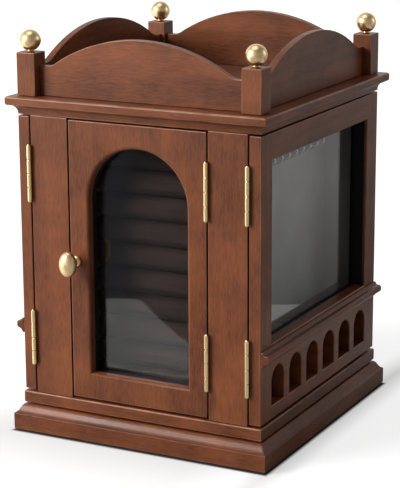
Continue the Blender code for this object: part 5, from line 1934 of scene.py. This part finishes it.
@dataclass
class Drawer(Assembly):
    """One drawer at the back: an inset front, a box joined to it, a felt lining and a knob."""

    body: str = "lower_drawer_body"
    word: str = "lower"
    first_board: float = 100.0
    edge: float = 0.0009
    wall: float = 0.004
    rim: float = 0.0008
    front_half: float = 0.0654
    box_half: float = 0.0612
    front_thickness: float = 0.014
    felt_thickness: float = 0.0018
    felt_edge: float = 0.0006

    def build(self) -> None:
        """Makes the drawer's pieces."""
        node = f"{self.word}_drawer"
        low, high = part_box(node)
        face = high.y - self.front_thickness
        front = eased_box((-self.front_half, face, low.z), (self.front_half, high.y, high.z), self.edge)
        self.piece(f"{node}_front", front, Finish.WALNUT_X, "walnut", node)
        box_low, box_high = BOX_LEVELS[self.word]
        outer = square_outline((-self.box_half, self.box_half, low.y, face), 0)
        box = open_box(outer, box_low, box_high, self.wall, self.rim)
        self.piece(f"{node}_box", box, Finish.INNER_Y, "inner_wood", node)
        lining = box_lining(outer, box_low, self.wall, self.felt_thickness, self.felt_edge)
        self.piece(f"{node}_felt_lining", lining, Finish.GREY_FELT, "grey_felt", node)
        middle = sum(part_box(f"{node}_knob"), Vector()) / 2
        self.piece(f"{node}_oval_knob", KNOB.shape(Vector((0, high.y, middle.z)), 1), Finish.BRASS, "brass",
                   f"{node}_knob")


# Studio


def seen_rays(graph: Graph, mirrored_share: object = 1.0) -> Socket:
    """1 for rays that the camera sees directly, a share for those in metal and glass, and 0 for light."""
    path = graph.add("ShaderNodeLightPath")
    mirrored = graph.number("ADD", path.outputs["Is Glossy Ray"], path.outputs["Is Transmission Ray"])
    mirrored = graph.number("MINIMUM", graph.product(mirrored, mirrored_share), mirrored_share)
    return graph.number("MAXIMUM", mirrored, path.outputs["Is Camera Ray"])


@dataclass(frozen=True)
class Card:
    """A card on the floor that glows with its own tone only in reflections, a painted reflection, so that a pane
    stays clear.
    """

    name: str
    curved: tuple[Pair, ...]
    straight: tuple[Pair, ...]
    slope: Pair
    span: Pair
    near: Colour
    far: Colour
    height: float = 0.002

    def build(self) -> None:
        """Makes the card, with its tone changing along its slope."""
        outline = [*smooth_line(self.curved, 6), *self.straight]
        card = make(self.name, slab(outline, self.height, self.height * 2))
        material, graph, shader, place = start_material(self.name)
        spot = graph.add("ShaderNodeSeparateXYZ", {0: place})
        along = graph.weighted(*zip(spot.outputs, self.slope))
        tone = graph.blend(graph.span(along, *self.span, 0.0, 1.0), self.near, self.far)
        # Glows with the tone in glossy rays only: a painted reflection in panes and glossy faces
        mirrored = graph.number("MINIMUM", graph.add("ShaderNodeLightPath").outputs["Glossy Depth"], 1.0)
        graph.show(graph.add("ShaderNodeMixShader", {0: mirrored, 1: graph.add("ShaderNodeBsdfTransparent"),
                                                     2: graph.add("ShaderNodeEmission", {"Color": tone})}))
        graph.tree.nodes.remove(shader)
        card.data.materials.append(material)
        card.visible_camera = card.visible_diffuse = card.visible_shadow = False
        card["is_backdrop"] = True


# The front card lays a dark painted reflection in the front pane; the side card lays a grey one over the side pane
CARDS = (
    Card("front_card",
         ((-0.34, -0.50), (-0.30, -0.484), (-0.267, -0.483), (-0.245, -0.495), (-0.222, -0.497), (-0.194, -0.469),
          (-0.16, -0.435), (-0.102, -0.38), (-0.03, -0.32)),
         ((-0.25, -0.78), (-0.40, -1.08), (-0.55, -1.36), (-0.85, -1.36), (-0.70, -1.15), (-0.48, -0.80)),
         (1.0, -0.581), (0.04, 0.14), (0.16, 0.17, 0.19), (0.008, 0.007, 0.007)),
    Card("side_card", ((0.10, 0.43), (0.276, 0.332), (0.45, 0.236), (0.9, -0.01)),
         ((2.0, 0.9), (1.4, 2.6), (0.30, 2.6)),
         (0.48, 0.877), (0.42, 1.1), (0.14, 0.138, 0.135), (0.40, 0.385, 0.37)),
)


@dataclass
class Studio:
    """Pale floor, soft lamps and the camera at the photograph's angle."""

    camera_place: Triple = (0.7132, -1.3972, 0.5493)
    azimuth: float = radians(27.20)
    elevation: float = radians(14.14)
    roll: float = radians(-0.27)
    lens: float = 132.1
    sensor: float = 36.0
    floor_half: float = 6.0
    floor_thickness: float = 0.02
    ambient: float = 0.13
    mirrored_left: float = 1.0
    mirrored_front: float = 0.08
    mirrored_back: float = 0.45
    # Painted floor shade: a band beside the plinth, shade ahead of it and a dark contact line round its foot
    contact: Pair = (0.123, 0.40)
    footprint: Pair = (0.1232, 0.1332)
    paper: tuple[Colour, Colour] = ((0.46, 0.46, 0.46), (0.48, 0.48, 0.48))
    band_front: Pair = (-0.24, -0.13)
    band_back: Pair = (0.17, 0.28)
    band_width: float = 0.024
    ahead: Pair = (0.124, 0.36)
    ahead_right: Pair = (0.06, 0.123)
    ahead_back: Pair = (-0.12, -0.02)
    contact_line: Pair = (0.0005, 0.0035)
    contact_reach: float = 0.0015
    contact_tone: Colour = (0.08, 0.08, 0.08)
    lamps: tuple[tuple[str, Triple, Triple, float, float], ...] = (
        ("key_softbox", (-1.6, -1.85, 1.2), (0, 0, 0.18), 1.2, 72.0),
        ("back_softbox", (2.0, 1.2, 0.95), (0, 0, 0.18), 1.2, 4.5),
        ("top_softbox", (-0.3, -0.3, 2.3), (0, 0, 0.2), 1.4, 8.0),
    )

    def build(self) -> None:
        """Makes the floor, the world, the lamps and the camera."""
        self.build_floor()
        for card in CARDS:
            card.build()
        self.build_world()
        for name, place, aim, size, power in self.lamps:
            lamp = bpy.data.lights.new(name, "AREA")
            lamp.shape, lamp.size, lamp.energy = "SQUARE", size, power
            obj = link(name, lamp)
            obj.location = place
            obj.rotation_euler = (Vector(aim) - Vector(place)).to_track_quat("-Z", "Y").to_euler()
        self.build_camera()
        bpy.context.scene.view_settings.view_transform = "Standard"

    def build_floor(self) -> None:
        """A pale floor that keeps the cabinet's soft shadow, with painted shadow beside and ahead of the plinth, a
        painted dark line round its foot, and a painted reflection that glows differently by direction.
        """
        half = self.floor_half
        floor = make("pale_floor", slab(square_outline((-half, half, -half, half), 0), -self.floor_thickness, 0.0))
        material, graph, shader, place = start_material("pale_paper")
        tone = graph.blend(graph.noise(place, 3.0, 2.0), *self.paper)
        away = graph.add("ShaderNodeVectorMath", {0: place}, operation="LENGTH").outputs["Value"]
        way = graph.add("ShaderNodeSeparateXYZ", {0: graph.add(
            "ShaderNodeVectorMath", {0: place}, operation="NORMALIZE")})
        # Painted reflection: the floor glows in glossy rays, bright to the left, dim in front, half behind, and
        # dimmer near the plinth
        mirrored = graph.number(
            "MAXIMUM", graph.span(way.outputs[0], -0.85, 0.0, self.mirrored_left, self.mirrored_front),
            graph.span(way.outputs[1], -0.1, 0.1, self.mirrored_front, self.mirrored_back))
        mirrored = graph.product(mirrored, graph.span(away, 0.16, 0.34, 0.3, 1.0))
        spot = graph.add("ShaderNodeSeparateXYZ", {0: place}).outputs
        outside = graph.number("MAXIMUM", *(
            graph.number("SUBTRACT", graph.number("ABSOLUTE", spot[i]), half_size)
            for i, half_size in enumerate(self.footprint)))
        # Painted shadow that dims the floor's glow beside and ahead of the plinth, and none under its footprint
        shade = graph.number("MAXIMUM", self.shade_beside(graph, spot), self.shade_ahead(graph, spot, outside))
        level = graph.product(graph.span(away, 0.25, 1.3, 0.78, 1.0), graph.number("SUBTRACT", 1.0, shade),
                              graph.span(outside, *self.contact_line, 0.0, 1.0))
        # Painted contact shadow: the floor's colour goes dark just round the plinth's foot
        under = graph.blend(graph.span(outside, 0.0, self.contact_reach, 0.0, 1.0), self.contact_tone, tone)
        graph.fill(shader, {"Base Color": under, "Roughness": 0.8, "Specular IOR Level": 0.1})
        glow = graph.add("ShaderNodeEmission", {"Color": (1, 1, 1, 1), "Strength": graph.product(
            seen_rays(graph, mirrored), level)})
        graph.show(graph.add("ShaderNodeAddShader", {0: shader, 1: glow}))
        floor.data.materials.append(material)
        floor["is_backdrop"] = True

    def shade_beside(self, graph: Graph, spot: Sequence[Socket]) -> Socket:
        """Shade of the floor in a narrow band along the plinth's right side, as its socket."""
        beside = graph.number("ABSOLUTE", graph.number("SUBTRACT", spot[0], self.contact[0]))
        length = graph.product(graph.span(spot[1], *self.band_front, 0.0, 1.0),
                               graph.span(spot[1], *self.band_back, 1.0, 0.0))
        return graph.product(graph.span(beside, 0.0, self.band_width, self.contact[1], 0.0), length)

    def shade_ahead(self, graph: Graph, spot: Sequence[Socket], outside: Socket) -> Socket:
        """Shade of the floor in front and on the left, by distance outside the plinth, as its socket."""
        front_left = graph.product(graph.span(spot[0], *self.ahead_right, 1.0, 0.0),
                                   graph.span(spot[1], *self.ahead_back, 1.0, 0.0))
        return graph.product(graph.span(outside, 0.0, *self.ahead, 0.0), front_left)

    def build_world(self) -> None:
        """A world that is white to the camera, pale behind and dim in front in reflections, and dim as a light."""
        world = bpy.data.worlds.new("studio")
        world.use_nodes = True
        bpy.context.scene.world = world
        graph = Graph(world.node_tree)
        way = graph.add("ShaderNodeSeparateXYZ", {0: graph.add("ShaderNodeTexCoord").outputs["Generated"]})
        seen = graph.product(graph.span(way.outputs[1], -0.35, 0.35, 0.80, 0.90),
                             graph.span(way.outputs[0], -0.2, 0.5, 1.0, 0.4),
                             graph.span(way.outputs[2], 0.25, 0.9, 1.0, 0.5))
        extra = graph.product(seen_rays(graph), graph.number("SUBTRACT", seen, self.ambient))
        path = graph.add("ShaderNodeLightPath")
        strength = graph.number("MAXIMUM", graph.number("ADD", extra, self.ambient), path.outputs["Is Camera Ray"])
        graph.fill(world.node_tree.nodes["Background"], {"Color": (1, 1, 1, 1), "Strength": strength})

    def build_camera(self) -> None:
        """The camera, placed and turned as the photograph's was."""
        data = bpy.data.cameras.new("photo_camera")
        data.lens, data.sensor_width = self.lens, self.sensor
        camera = link("photo_camera", data)
        az, el = self.azimuth, self.elevation
        forward = Vector((-sin(az) * cos(el), cos(az) * cos(el), -sin(el)))
        right = Vector((cos(az), sin(az), 0))
        up = right.cross(forward)
        c, s = cos(self.roll), sin(self.roll)
        across, upward = c * right + s * up, c * up - s * right
        turn = Matrix((across, upward, -forward)).transposed().to_4x4()
        camera.matrix_world = Matrix.Translation(self.camera_place) @ turn
        bpy.context.scene.camera = camera


def clear_startup() -> None:
    """Removes what Blender's startup scene holds besides the frame."""
    kept = {*frame["bodies"].values(), *frame["nodes"].values()}
    for obj in list(bpy.context.scene.objects):
        if obj not in kept:
            bpy.data.objects.remove(obj, do_unlink=True)


def main() -> None:
    """Builds every sub-assembly in order."""
    logging.basicConfig(level=logging.INFO, format="%(message)s")
    clear_startup()
    Studio().build()
    Base("base").build()
    BallCage("ball_cage").build()
    Case("case").build()
    Gallery("case").build()
    for side, word in SIDES:
        NecklaceSpace("case", side=side, word=word).build()
    RingRolls("case").build()
    FrontDoor("front_door").build()
    for side, word in SIDES:
        SideDoor(f"{word}_door", side=side).build()
    for word in ("lower", "middle", "upper"):
        Drawer(f"{word}_drawer_body", word=word).build()
    [[list(corner) for corner in box] for box in (CAD_BOX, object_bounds())]


if __name__ == "__main__":
    main()
